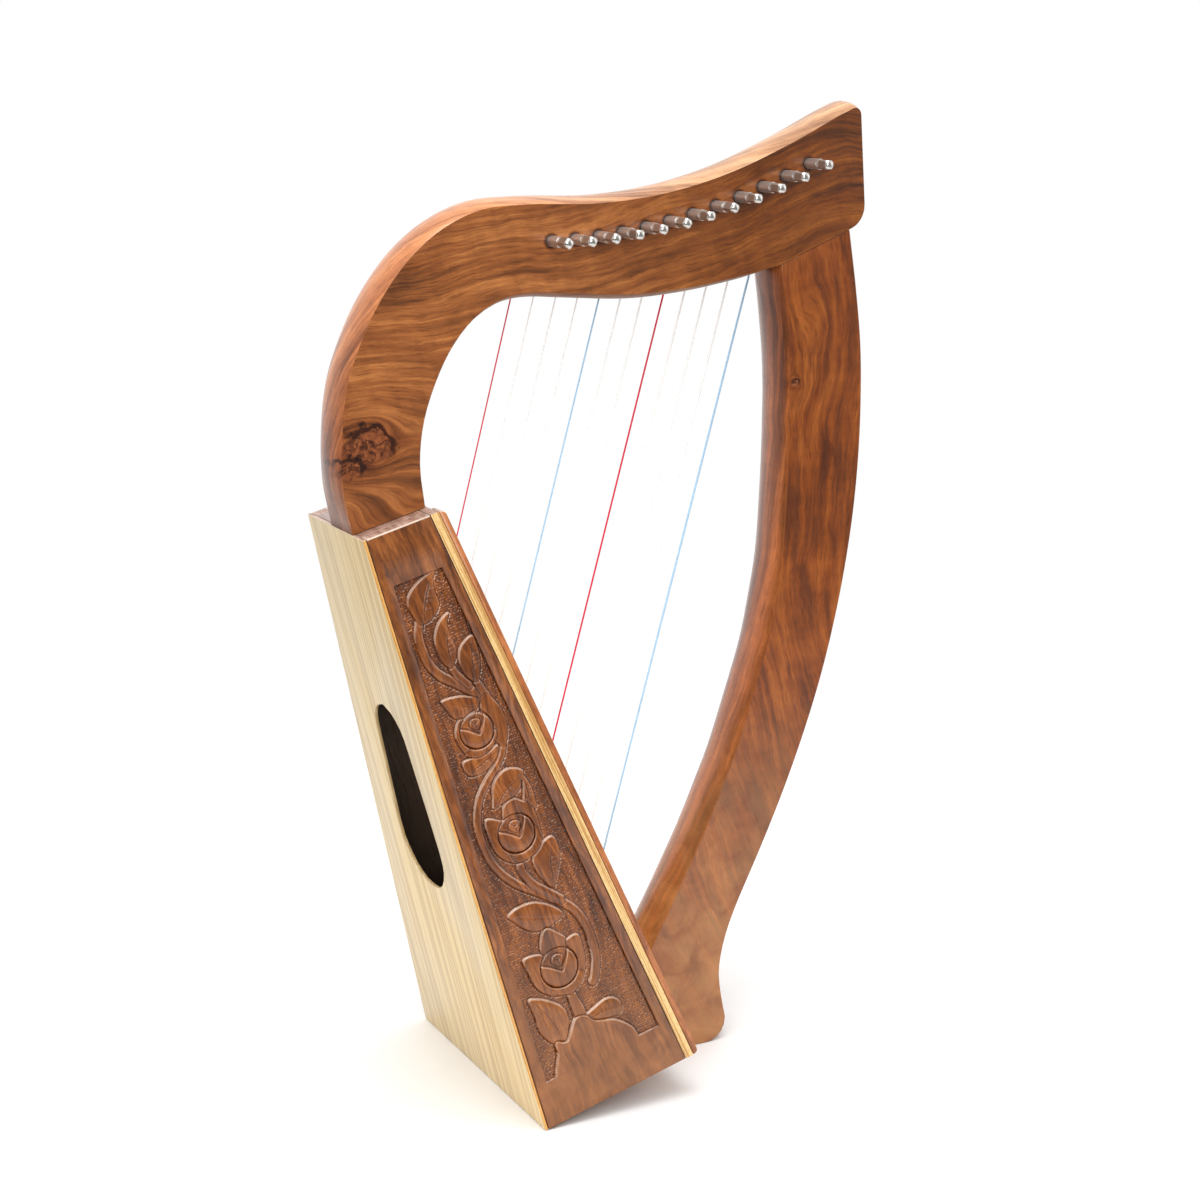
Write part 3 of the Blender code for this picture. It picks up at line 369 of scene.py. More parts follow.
def pin_hole_shade(s):
    """Painted shade: darker wood round the holes of the tuning pins, where the pins shade it."""
    flat = s.join(s.dot(s.place(), (1.0, 0.0, 0.0)), 0.0, s.dot(s.place(), (0.0, 0.0, 1.0)))
    nearest = None
    for x, z in PIN_PLACES:
        gap = s.node("ShaderNodeVectorMath", operation="DISTANCE")
        s.link(flat, gap.inputs[0])
        gap.inputs[1].default_value = (x * MM, 0.0, z * MM)
        nearest = gap.outputs["Value"] if nearest is None else s.math("MINIMUM", nearest, gap.outputs["Value"])
    # Painted shade round each pin's hole
    painted_pin_shade = [(0.0, (0.16, 0.12, 0.11)), (0.35, (0.45, 0.38, 0.36)), (1.0, WHITE)]
    s.color(s.tint(s.wood_color(), s.span(nearest, 2.9 * MM, 4.6 * MM), painted_pin_shade))


def plank(angle, bends=(), knots=()):
    return lambda s: grain_field(s, angle, bends, knots)


def round_edge(along_axis, drift):
    """Grain that runs along a crowned edge and drifts slowly across it."""
    def field(s):
        point = s.place()
        along = s.dot(point, along_axis)
        depth = s.dot(point, (along_axis[2], 0.0, -along_axis[0]))
        waver = s.noise(s.join(along, depth, 0.0), 22.0, 2.0, 0.5)
        across = s.math("ADD", s.dot(point, (0.0, 1.0, 0.0)), s.math("MULTIPLY", along, drift))
        across = s.math("ADD", across, s.math("MULTIPLY", waver, 0.010))
        return across, s.math("MULTIPLY", depth, 0.12), along
    return field


def across_box(s):
    """Grain that runs across the soundbox, along Y."""
    point = s.place()
    return s.dot(point, (0.95, 0.0, 0.25)), s.dot(point, (-0.25, 0.0, 0.95)), s.dot(point, (0.0, 1.0, 0.0))


def painted_floor_light(s, wood, high, low, stops):
    """Painted light from the white floor: paler wood towards it."""
    height = s.dot(s.place(), (0.0, 0.0, 1.0))
    return s.mix(s.span(height, high, low), wood, s.ramp(s.noise(s.place(), 55.0, 4.0, 0.6, 0.8), stops))


def painted_shade_inside(s):
    """Painted shade: bare wood, painted dark, on the faces that look into the soundbox."""
    side = s.math("MULTIPLY", s.dot(s.normal(), (0.0, 1.0, 0.0)), s.dot(s.place(), (0.0, 1.0, 0.0)))
    inward = s.span(side, -0.002, -0.008)
    inside_shade = s.ramp(s.noise(s.place(), 60.0, 3.0), [(0.3, (0.100, 0.065, 0.045)), (0.7, (0.143, 0.094, 0.068))])
    s.color(s.mix(inward, s.wood_color(), inside_shade))


def pale_wood(name, sheet_tones, edge_tones, line_scale, inside, lean, gloss=0.36):
    """Straight-grained pale wood, with other tones where the sheet's edge shows and painted shade on the face that
    looks into the soundbox.
    """
    s = Shader(name)
    point = s.place()
    across = s.dot(point, (0.0, 1.0, 0.0))
    face = s.dot(point, tuple(Vector(OUT_OF_BACK) + lean * Vector(UP_BOX)))
    along = s.dot(point, UP_BOX)
    vector = s.join(across, face, s.math("MULTIPLY", along, 0.008))
    broad = s.noise(vector, line_scale * 0.20, 2.0, 0.5)
    lines = s.noise(vector, line_scale, 1.5, 0.5)
    light, dark = sheet_tones
    soft = tuple(0.75 * a + 0.25 * b for a, b in zip(light, dark))
    base = s.ramp(broad, [(0.36, soft), (0.60, light)])
    drawn = s.ramp(lines, [(0.42, dark), (0.52, light)])
    sheet = s.mix(0.80, base, drawn)
    pores = s.noise(s.join(across, face, s.math("MULTIPLY", along, 0.05)), 1900.0, 2.0, 0.6)
    sheet = s.tint(sheet, pores, [(0.34, (0.86, 0.82, 0.76)), (0.48, WHITE)], 0.5)
    turn = s.dot(s.normal(), OUT_OF_BACK)
    facing = s.span(s.math("ABSOLUTE", turn), 0.55, 0.75)
    layer = s.noise(s.join(s.math("MULTIPLY", across, 0.02), face, s.math("MULTIPLY", along, 0.006)), 1500.0, 3.0, 0.6)
    end_light, end_dark = edge_tones
    edge = s.ramp(layer, [(0.43, end_dark), (0.51, end_light)])
    fibre = s.noise(s.join(across, face, s.math("MULTIPLY", along, 0.25)), 1300.0, 2.0, 0.6)
    edge = s.tint(edge, fibre, [(0.36, (0.80, 0.70, 0.55)), (0.50, WHITE)], 0.7)
    rim = s.span(s.math("ABSOLUTE", across), HOLE_REACH, HOLE_REACH + 1.0 * MM)
    edge = s.mix(rim, s.mix(0.85, edge, sheet), edge)
    wood = s.mix(facing, edge, sheet)
    # Painted light from the floor: paler towards the bottom
    height = s.dot(point, (0.0, 0.0, 1.0))
    wood = s.tint(wood, s.span(height, 0.0, 0.32), [(0.0, (1.20, 1.17, 1.08)), (1.0, (1.02, 0.99, 0.90))])
    # Painted shade on the face that looks into the soundbox
    inward = s.span(turn, 0.3 * inside, 0.7 * inside)
    inside_shade = s.ramp(broad, [(0.3, (0.105, 0.068, 0.048)), (0.7, (0.150, 0.098, 0.071))])
    s.color(s.mix(inward, wood, inside_shade))
    pale_ends_and_sheen(s, TOP_REACH)
    s.put(roughness=gloss, coat=0.12, coat_roughness=0.2, specular=0.4)
    s.bump(lines, 0.10, 0.0002)
    return s.material


def cheek_wood(name, gloss, coat):
    """The soundbox's sides, paler towards the floor as painted light from it."""
    s = rosewood(name, CHEEK_TONES, plank(CHEEK_GRAIN), 7.0, gloss, 0.85, 0.4, 2.3, coat, streaks=0.35)
    pale = [(0.35, (0.20, 0.074, 0.020)), (0.50, (0.31, 0.119, 0.033)), (0.65, (0.41, 0.167, 0.050))]
    s.color(s.mix(0.5, s.wood_color(), painted_floor_light(s, s.wood_color(), 0.11, 0.03, pale)))
    return s


def carved(name):
    """The cheek's wood where it is carved: painted shade in its hollows and painted highlights on its edges."""
    s = cheek_wood(name, 0.22, 0.35)
    tone = s.attribute("tone")
    wood = s.tint(s.wood_color(), tone, [
        (0.02, (0.13, 0.09, 0.08)), (0.28, (0.52, 0.43, 0.38)), (0.50, (0.98, 0.96, 0.94)), (0.66, (1.22, 1.2, 1.18)),
    ])
    # Painted highlight colour for the edges
    pale = s.ramp(s.noise(s.place(), 300.0, 2.0), [(0.3, (0.50, 0.31, 0.21)), (0.7, (0.68, 0.50, 0.40))])
    s.color(s.mix(s.span(tone, 0.60, 1.0, 0.0, 0.80), wood, pale))
    return s.material


def metal(name, color, roughness):
    s = Shader(name)
    wear = s.noise(s.place(), 900.0, 3.0)
    s.color(s.ramp(wear, [(0.3, tuple(c * 0.86 for c in color)), (0.7, color)]))
    s.link(s.span(wear, 0.0, 1.0, roughness, roughness + 0.08), s.bsdf.inputs["Roughness"])
    s.put(metallic=1.0)
    s.bump(wear, 0.04, 0.0001)
    return s


def worn_nickel():
    """Plated pins: dull where the key grips and polished at the tip, their flats darkened brown as a painted reflection
    of the wood.
    """
    s = metal("nickel", (0.70, 0.67, 0.64), 0.34)
    depth = s.dot(s.place(), (0.0, 1.0, 0.0))
    s.link(s.span(depth, PIN_TIP_Y + 1.6 * MM, PIN_TIP_Y + 2.6 * MM, 0.20, 0.36), s.bsdf.inputs["Roughness"])
    # Painted reflection of the wood on the square flats
    painted_reflection_on_flats = s.math(
        "MULTIPLY", s.span(depth, PIN_TIP_Y + 1.9 * MM, PIN_TIP_Y + 2.5 * MM),
        s.span(depth, PIN_TIP_Y + PIN_SQUARE + 0.6 * MM, PIN_TIP_Y + PIN_SQUARE),
    )
    s.color(s.tint(s.wood_color(), painted_reflection_on_flats, [(0.0, WHITE), (1.0, (0.62, 0.52, 0.45))]))
    s.put(metallic=0.85)
    return s.material


def nylon(name, color, glow=0.0):
    """Smooth nylon. The clear kind passes light on from behind, which a little glow stands for."""
    s = Shader(name)
    cloud = s.noise(s.place(), 220.0, 2.0)
    s.color(s.ramp(cloud, [(0.3, tuple(c * 0.94 for c in color)), (0.7, color)]))
    s.put(roughness=0.35, ior=1.45, specular=0.25)
    if glow > 0.0:
        s.bsdf.inputs["Emission Color"].default_value = (*color, 1.0)
        s.bsdf.inputs["Emission Strength"].default_value = glow
    return s.material


def floor_material():
    """White paper that fades into the white surroundings."""
    s = Shader("floor")
    speck = s.noise(s.place(), 40.0, 2.0)
    s.color(s.ramp(speck, [(0.3, (0.86, 0.86, 0.86)), (0.7, (0.88, 0.88, 0.88))]))
    s.put(roughness=0.8, specular=0.1)
    length = s.node("ShaderNodeVectorMath", operation="LENGTH")
    s.link(s.place(), length.inputs[0])
    s.link(s.span(length.outputs["Value"], FLOOR_CLEAR_TO, FLOOR_CLEAR_FROM), s.bsdf.inputs["Alpha"])
    return s.material


def set_material(node, material):
    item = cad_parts[node]
    item.data.materials.clear()
    item.data.materials.append(material)


def inside_panel(point):
    """Whether a world point lies well within a cheek's outline, as the edges of its sunk panel do."""
    place = box_to_world().inverted() @ point
    share = place.z / BOX_HEIGHT
    rear = BACK_RAKE * share
    front = rear + DEPTH_BOTTOM + (DEPTH_TOP - DEPTH_BOTTOM) * share
    return rear + 4.0 * MM < place.x < front - 3.0 * MM and 15.0 * MM < place.z < BOX_HEIGHT - 15.0 * MM


def finer_plank(name, node, material, softening=EDGE_SOFTENING, keeps=lambda point: False):
    """A plank in place of its CAD node, with its crown smooth and its edges softened.

    keeps says of an edge's middle whether the edge stays sharp.
    """
    bm = bmesh.new()
    bm.from_mesh(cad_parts[node].data)
    bmesh.ops.remove_doubles(bm, verts=bm.verts, dist=1e-6)
    bmesh.ops.dissolve_limit(bm, angle_limit=0.4 * DEG, verts=bm.verts, edges=bm.edges)
    sharp = [
        e for e in bm.edges
        if e.is_manifold and e.calc_face_angle() > SHARP_ANGLE and not keeps((e.verts[0].co + e.verts[1].co) / 2.0)
    ]
    bmesh.ops.bevel(bm, geom=sharp, offset=softening, segments=2, profile=0.5, affect="EDGES", clamp_overlap=True)
    mesh = bpy.data.meshes.new(name)
    bm.to_mesh(mesh)
    bm.free()
    mesh.materials.append(material)
    mesh.shade_smooth()
    mesh.set_sharp_from_angle(angle=SHARP_ANGLE)
    for polygon in mesh.polygons:
        if abs(polygon.normal.y) > 0.9999:
            polygon.use_smooth = False
    plank_piece = bpy.data.objects.new(name, mesh)
    bpy.context.scene.collection.objects.link(plank_piece)
    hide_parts(node)
    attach(plank_piece, "frame")


def dress_nodes():
    """A procedural material for every node that the part brings. Returns the brass."""
    knots = (SHOULDER_KNOT, SHOULDER_SECOND_KNOT)
    # The neck's crown tint: oranger at the shoulder, and paler and bluer towards the head as a painted reflection of
    # the bright light above
    crown_tint = (-0.11, 0.06, (1.08, 0.82, 0.60), (1.10, 1.22, 1.36))
    crown = (round_edge((0.75, 0.0, 0.66), 0.32), NECK_CROWN_TONES, crown_tint)
    redder = (-0.03, 0.08, (1.02, 1.00, 0.97), (0.61, 0.49, 0.25))
    field = plank(NECK_GRAIN, NECK_BENDS, knots + SHOULDER_SWIRLS)
    neck = rosewood("neck rosewood", NECK_TONES, field, 0.37, contrast=0.9, fine=1.45, crown=crown, streaks=0.5, face_tint=redder)
    neck.color(knot_core(neck, neck.wood_color(), knots))
    pin_hole_shade(neck)
    finer_plank("neck_wood", "neck", neck.material)
    crown = (round_edge((0.0, 0.0, 1.0), 0.05), PILLAR_CROWN_TONES, (0.0, 0.1, WHITE, WHITE))
    field = plank(PILLAR_GRAIN, PILLAR_BENDS, (PILLAR_KNOT,) + PILLAR_SWIRLS)
    pillar = rosewood("pillar rosewood", PILLAR_TONES, field, 2.1, contrast=0.8, mottle=1.3, fine=1.3, crown=crown, streaks=0.45)
    pillar.color(knot_core(pillar, pillar.wood_color(), (PILLAR_KNOT,)))
    # The pillar is paler towards the floor: painted light from it
    pale = [(0.35, (0.32, 0.120, 0.034)), (0.50, (0.46, 0.200, 0.064)), (0.65, (0.58, 0.275, 0.095))]
    pillar.color(pillar.mix(0.62, pillar.wood_color(), painted_floor_light(pillar, pillar.wood_color(), 0.19, 0.04, pale)))
    finer_plank("pillar_wood", "pillar", pillar.material)
    cheek = cheek_wood("cheek rosewood", 0.24, 0.3)
    painted_shade_inside(cheek)
    pale_ends_and_sheen(cheek)
    for node in ("cheek_left", "cheek_right"):
        finer_plank(f"{node}_wood", node, cheek.material, softening=BOARD_SOFTENING, keeps=inside_panel)
    for node in ("bottom_board", "lower_block"):
        set_material(node, cheek.material)
    edge = rosewood("edge rosewood", EDGE_TONES, plank(BOARD_GRAIN), 11.0, contrast=0.9)
    pale_ends_and_sheen(edge)
    for node in ("trim_left", "trim_right", "string_rib"):
        finer_plank(f"{node}_wood", node, edge.material, softening=BOARD_SOFTENING)
    # The top block in the up-facing tones, partly a painted reflection of the light above
    top = rosewood("top rosewood", TOP_TONES, across_box, 4.0, contrast=0.8, streaks=0.3)
    finer_plank("top_block_wood", "top_block", top.material, softening=BOARD_SOFTENING)
    ash = pale_wood(
        "ash", ((0.70, 0.555, 0.325), (0.530, 0.385, 0.205)), ((0.72, 0.40, 0.12), (0.48, 0.21, 0.05)),
        430.0, 1.0, -BACK_RAKE / BOX_HEIGHT,
    )
    finer_plank("back_panel_wood", "back_panel", ash, BOARD_SOFTENING)
    ply = pale_wood(
        "ply", ((0.62, 0.42, 0.20), (0.42, 0.25, 0.10)), ((0.80, 0.56, 0.27), (0.50, 0.27, 0.09)),
        420.0, -1.0, (DEPTH_BOTTOM - DEPTH_TOP - BACK_RAKE) / BOX_HEIGHT,
    )
    finer_plank("soundboard_wood", "soundboard", ply, BOARD_SOFTENING)
    make_pins(worn_nickel())
    brass = metal("brass", (0.78, 0.57, 0.25), 0.18).material
    strings = {
        0: nylon("red nylon", (0.80, 0.012, 0.060)),
        4: nylon("blue nylon", (0.45, 0.72, 0.98)),
    }
    clear = nylon("clear nylon", (0.92, 0.92, 0.91), 0.22)
    for number in range(STRING_COUNT):
        label = f"{number + 1:02d}"
        set_material(f"bridge_pin_{label}", brass)
        for kind in ("string", "winding"):
            set_material(f"{kind}_{label}", strings.get(number % 7, clear))
    return brass


# Tuning pins, finer than the CAD nodes that they replace

STRING_COUNT = 12
PIN_PLACES = (
    (-35.235, 429.871), (-22.699, 430.315), (-10.058, 431.278), (2.690, 432.759), (15.543, 434.759), (28.502, 437.277),
    (41.567, 440.313), (54.737, 443.868), (68.014, 447.941), (81.397, 452.532), (94.885, 457.642), (108.479, 463.270),
)
PIN_HEAD_TURNS = (38, 22, 30, 5, 18, 31, 3, 27, 8, 2, 6, 4)
PIN_TIP_Y = -43.5 * MM
PIN_TAIL_Y = 17.6 * MM
PIN_RADIUS = 2.7 * MM
PIN_FLAT = 2.2 * MM
PIN_DOME = 2.1 * MM
PIN_SQUARE = 7.8 * MM
PIN_SCALLOP = 1.9 * MM
PIN_BEVEL = 0.7 * MM
PIN_RINGS = 9


def pin_stations():
    """Rings of a pin from tip to tail: place along Y, half width of its flats, share of its full radius."""
    stations = []
    for step in range(1, PIN_RINGS + 1):
        angle = math.pi / 2.0 * step / PIN_RINGS
        flat = PIN_FLAT + (PIN_RADIUS - PIN_FLAT) * math.cos(angle)
        stations.append((PIN_TIP_Y + PIN_DOME * (1.0 - math.cos(angle)), flat, math.sin(angle)))
    for step in range(PIN_RINGS + 1):
        angle = math.pi / 2.0 * step / PIN_RINGS
        flat = PIN_FLAT + (PIN_RADIUS - PIN_FLAT) * (1.0 - math.cos(angle))
        stations.append((PIN_TIP_Y + PIN_SQUARE + PIN_SCALLOP * math.sin(angle), flat, 1.0))
    stations.append((PIN_TAIL_Y - PIN_BEVEL, PIN_RADIUS, 1.0))
    stations.append((PIN_TAIL_Y, PIN_RADIUS, 1.0 - PIN_BEVEL / PIN_RADIUS))
    return stations


def pin_section(flat):
    """Angles and reach round a pin with flats of the given half width, with points on its corners."""
    corner = math.acos(min(1.0, flat / PIN_RADIUS))
    section = []
    for side in range(4):
        middle = side * math.pi / 2.0
        for step in range(-4, 5):
            local = corner * step / 4.0
            section.append((middle + local, flat / math.cos(local)))
        for step in range(1, 6):
            section.append((middle + corner + (math.pi / 2.0 - 2.0 * corner) * step / 6.0, PIN_RADIUS))
    return section


def make_pins(material):
    """Round pins with four scalloped flats and a domed tip, each turned as its CAD node is."""
    for number, ((x, z), turn) in enumerate(zip(PIN_PLACES, PIN_HEAD_TURNS)):
        bm = bmesh.new()
        rings = []
        for y, flat, share in pin_stations():
            ring = []
            for angle, reach in pin_section(min(flat, PIN_RADIUS - 0.01 * MM)):
                spun = angle - turn * DEG
                reach = reach * share
                ring.append(bm.verts.new((x * MM + reach * math.cos(spun), y, z * MM + reach * math.sin(spun))))
            rings.append(ring)
        for first, second in zip(rings, rings[1:]):
            for step in range(len(first)):
                after = (step + 1) % len(first)
                bm.faces.new((first[step], first[after], second[after], second[step]))
        bm.faces.new(rings[0])
        bm.faces.new(rings[-1][::-1])
        bmesh.ops.recalc_face_normals(bm, faces=bm.faces)
        name = f"pin_{number + 1:02d}_nickel"
        mesh = bpy.data.meshes.new(name)
        bm.to_mesh(mesh)
        bm.free()
        mesh.shade_smooth()
        mesh.set_sharp_from_angle(angle=28.0 * DEG)
        mesh.materials.append(material)
        pin = bpy.data.objects.new(name, mesh)
        bpy.context.scene.collection.objects.link(pin)
        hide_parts(f"tuning_pin_{number + 1:02d}")
        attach(pin, f"tuning_pin_{number + 1:02d}")


# The carved panels: millimetres in the plane of a cheek, from the box's rear edge and up its slant

PANEL_DEPTH = 2.0
GROUND_HEIGHT = 0.52
STIPPLE_PITCH = 1.25
STIPPLE_RADIUS = 0.44
STIPPLE_DEPTH = 0.42
STIPPLE_CELLS = 320
LEAST_HEIGHT = 0.08
FORM_EDGE = 0.42
CARVING_ROWS = 750
CARVING_COLUMNS = 128
PANEL_LOW = 22.5
PANEL_HIGH = 281.0
PANEL_BACK_MARGIN = 7.8
PANEL_FRONT_MARGIN = 5.6

STEMS = [
    ([(20.5, 262), (18.2, 256), (17.8, 249), (18.8, 241), (22.5, 234), (28, 228.5), (33, 223.5), (38, 217.5), (41, 213)], 2.0, 2.5),
    ([(28.5, 238), (30, 232), (34, 225)], 1.6, 2.0),
    ([(38, 227), (39.5, 221), (41.5, 214)], 1.6, 2.2),
    ([(41, 190), (39, 186.5), (34, 181.5), (28, 177), (22, 171), (17.8, 163), (16, 155), (16, 147), (17.5, 138),
      (21, 130), (26.5, 122.5), (32.5, 117), (39, 111), (46, 104), (50.5, 97.5), (53.3, 89), (54, 80),
      (53.3, 71), (50, 62.5), (48, 60)], 1.7, 2.3),
    ([(31, 134), (30.8, 127), (34, 119.5), (39.5, 113), (45, 106.5)], 1.9, 2.2),
    ([(35, 61), (35.5, 54), (36.3, 47), (35.5, 40), (34, 34)], 2.0, 4.5),
]
LEAVES = [
    ([(21, 261), (18.5, 266), (17.8, 271), (19.5, 276), (25, 280), (31, 282.3), (36, 283), (33.5, 279), (32.5, 273),
      (33, 268), (30.5, 264), (26.5, 261.5)], [(22, 262), (25, 269), (29, 276), (33, 281)]),
    ([(27.5, 236.5), (25, 241), (24.6, 247), (25.2, 252), (28, 257), (31.5, 260), (36, 261.5), (33.5, 257),
      (33, 251), (33.8, 245), (32.5, 240), (30, 237)], [(28.5, 238), (29.5, 247), (33, 258)]),
    ([(37.5, 225.5), (34.5, 229), (33.4, 234), (34, 240), (37, 244.5), (43.5, 247), (44.2, 241), (43.8, 235),
      (42, 229.5), (40, 226)], [(38, 227), (39, 236), (42, 245)]),
    ([(36.5, 216.8), (31, 220.5), (25, 222.3), (18.7, 222.5), (20, 217), (22, 212.5), (26, 211), (31, 212.5),
      (35, 213)], [(20, 221), (27, 217), (34, 214.5)]),
    ([(19.3, 190.5), (19, 186), (21, 182.8), (27, 182), (33, 184), (37, 187.5), (39, 192), (34, 191), (28, 191.5),
      (23, 191)], [(21, 185), (28, 187), (37, 190)]),
    ([(26.5, 163), (28, 168), (29.5, 173), (33, 177), (38, 179), (43, 178), (47, 174.5), (44.5, 170), (42, 166.5),
      (37, 164.5), (31, 163.8)], [(29, 165.5), (35, 169.5), (44, 174)]),
    ([(45.5, 173.5), (44.5, 167), (42.5, 161), (41.5, 154.5), (47.5, 155), (48.5, 162), (48, 168)],
     [(45.5, 171), (45, 163), (45, 156)]),
    ([(43.5, 113.5), (39.5, 119), (37.5, 126), (38, 132), (42, 136), (50.5, 138.5), (52.5, 132), (50.5, 125),
      (46.5, 118)], [(43.5, 116), (45, 126), (48.5, 136)]),
    ([(16.5, 110), (22, 112), (30, 111.5), (36, 108.5), (41, 104), (44, 99.5), (41, 97.5), (34, 96), (27, 97),
      (22, 101), (18.5, 106)], [(18.5, 108.5), (27, 104.5), (40, 99)]),
    ([(13, 65.5), (18.5, 64), (24, 60), (28.5, 55), (30, 49.5), (28.5, 44), (25, 38.5), (19, 39), (15.5, 43),
      (13.3, 49), (13.5, 56)], [(15, 63), (20, 52), (23, 41)]),
    ([(38.5, 45), (44, 47), (51, 48.7), (56, 47), (58.5, 42.5), (56.5, 38), (51, 38.5), (45, 39.5), (40, 42)],
     [(41, 43.5), (48, 44), (56, 43)]),
]
ROSES = [
    ((31.0, 202.5), 8.4, [
        [(24.5, 211), (20.5, 206), (20, 200), (22.5, 193.5), (28, 193.5), (31, 201), (28, 208)],
        [(40, 218), (44.5, 212), (46.5, 204), (45.5, 196), (42, 190), (38.5, 194), (40, 201), (38.5, 208), (36.5, 212)],
        [(22, 193.5), (27, 190.5), (33, 191), (38, 194), (40, 199), (31, 197)],
    ]),
    ((34.0, 147.0), 9.3, [
        [(32, 162.5), (39, 163.5), (41.5, 157), (39, 152), (33, 153), (29.5, 153)],
        [(39.5, 162.5), (45, 157), (46.5, 150), (46, 143), (42, 143), (41.5, 150), (40, 155)],
        [(21, 159.5), (27.5, 156.5), (31, 152), (28, 146), (29, 140), (34, 136), (30, 133), (24.5, 136.5), (21, 142),
         (19.8, 150)],
        [(28, 139), (33, 138), (40, 140.5), (44, 146), (46.3, 141), (42, 135.5), (36, 133), (30, 133.5)],
    ]),
    ((33.5, 74.5), 9.7, [
        [(27, 87), (30, 94), (33.5, 96), (38, 91.5), (41.5, 86.5), (39.5, 81), (33, 83), (27.5, 81)],
        [(41, 85.5), (47.5, 86.5), (48.5, 80), (47.5, 72), (44.5, 65.5), (40, 66), (42, 73), (42, 79)],
        [(17, 86), (25.5, 85), (28, 81), (26, 76), (28, 69), (33, 65), (34, 61), (30, 60.5), (24, 63.5), (19, 69.5),
         (17.3, 78)],
        [(28, 68), (33, 67), (40, 69), (44.8, 66.5), (41, 61.5), (36, 59.5), (31, 60.5), (26, 64)],
    ]),
]
BASE_OUTLINE = [
    (19.5, 39.5), (25, 37.5), (29.5, 42.5), (33, 46.5), (38.5, 45.5), (41.5, 41.5), (46, 39.3), (50, 38), (54, 35.5),
    (58, 31.5), (60.8, 27.5), (62, 21), (63, 8), (38, 4), (11, 8), (13.4, 21), (15.8, 27.5), (18.5, 33),
]


def slant():
    """Length up a cheek's face for each unit of height in box axes."""
    return math.hypot(1.0, (HALF_WIDTH_BOTTOM - HALF_WIDTH_TOP) / BOX_HEIGHT)


def curve_through(points, closed, steps=6):
    """Points along a Catmull-Rom curve through the given ones."""
    chain = np.array(points, float)
    if closed:
        chain = np.vstack([chain[-1:], chain, chain[:2]])
    else:
        chain = np.vstack([2 * chain[:1] - chain[1:2], chain, 2 * chain[-1:] - chain[-2:-1]])
    result = []
    for p0, p1, p2, p3 in zip(chain, chain[1:], chain[2:], chain[3:]):
        for t in np.arange(steps) / steps:
            result.append(0.5 * (
                2 * p1 + (p2 - p0) * t + (2 * p0 - 5 * p1 + 4 * p2 - p3) * t ** 2
                + (3 * p1 - p0 - 3 * p2 + p3) * t ** 3
            ))
    if not closed:
        result.append(chain[-2])
    return np.array(result)


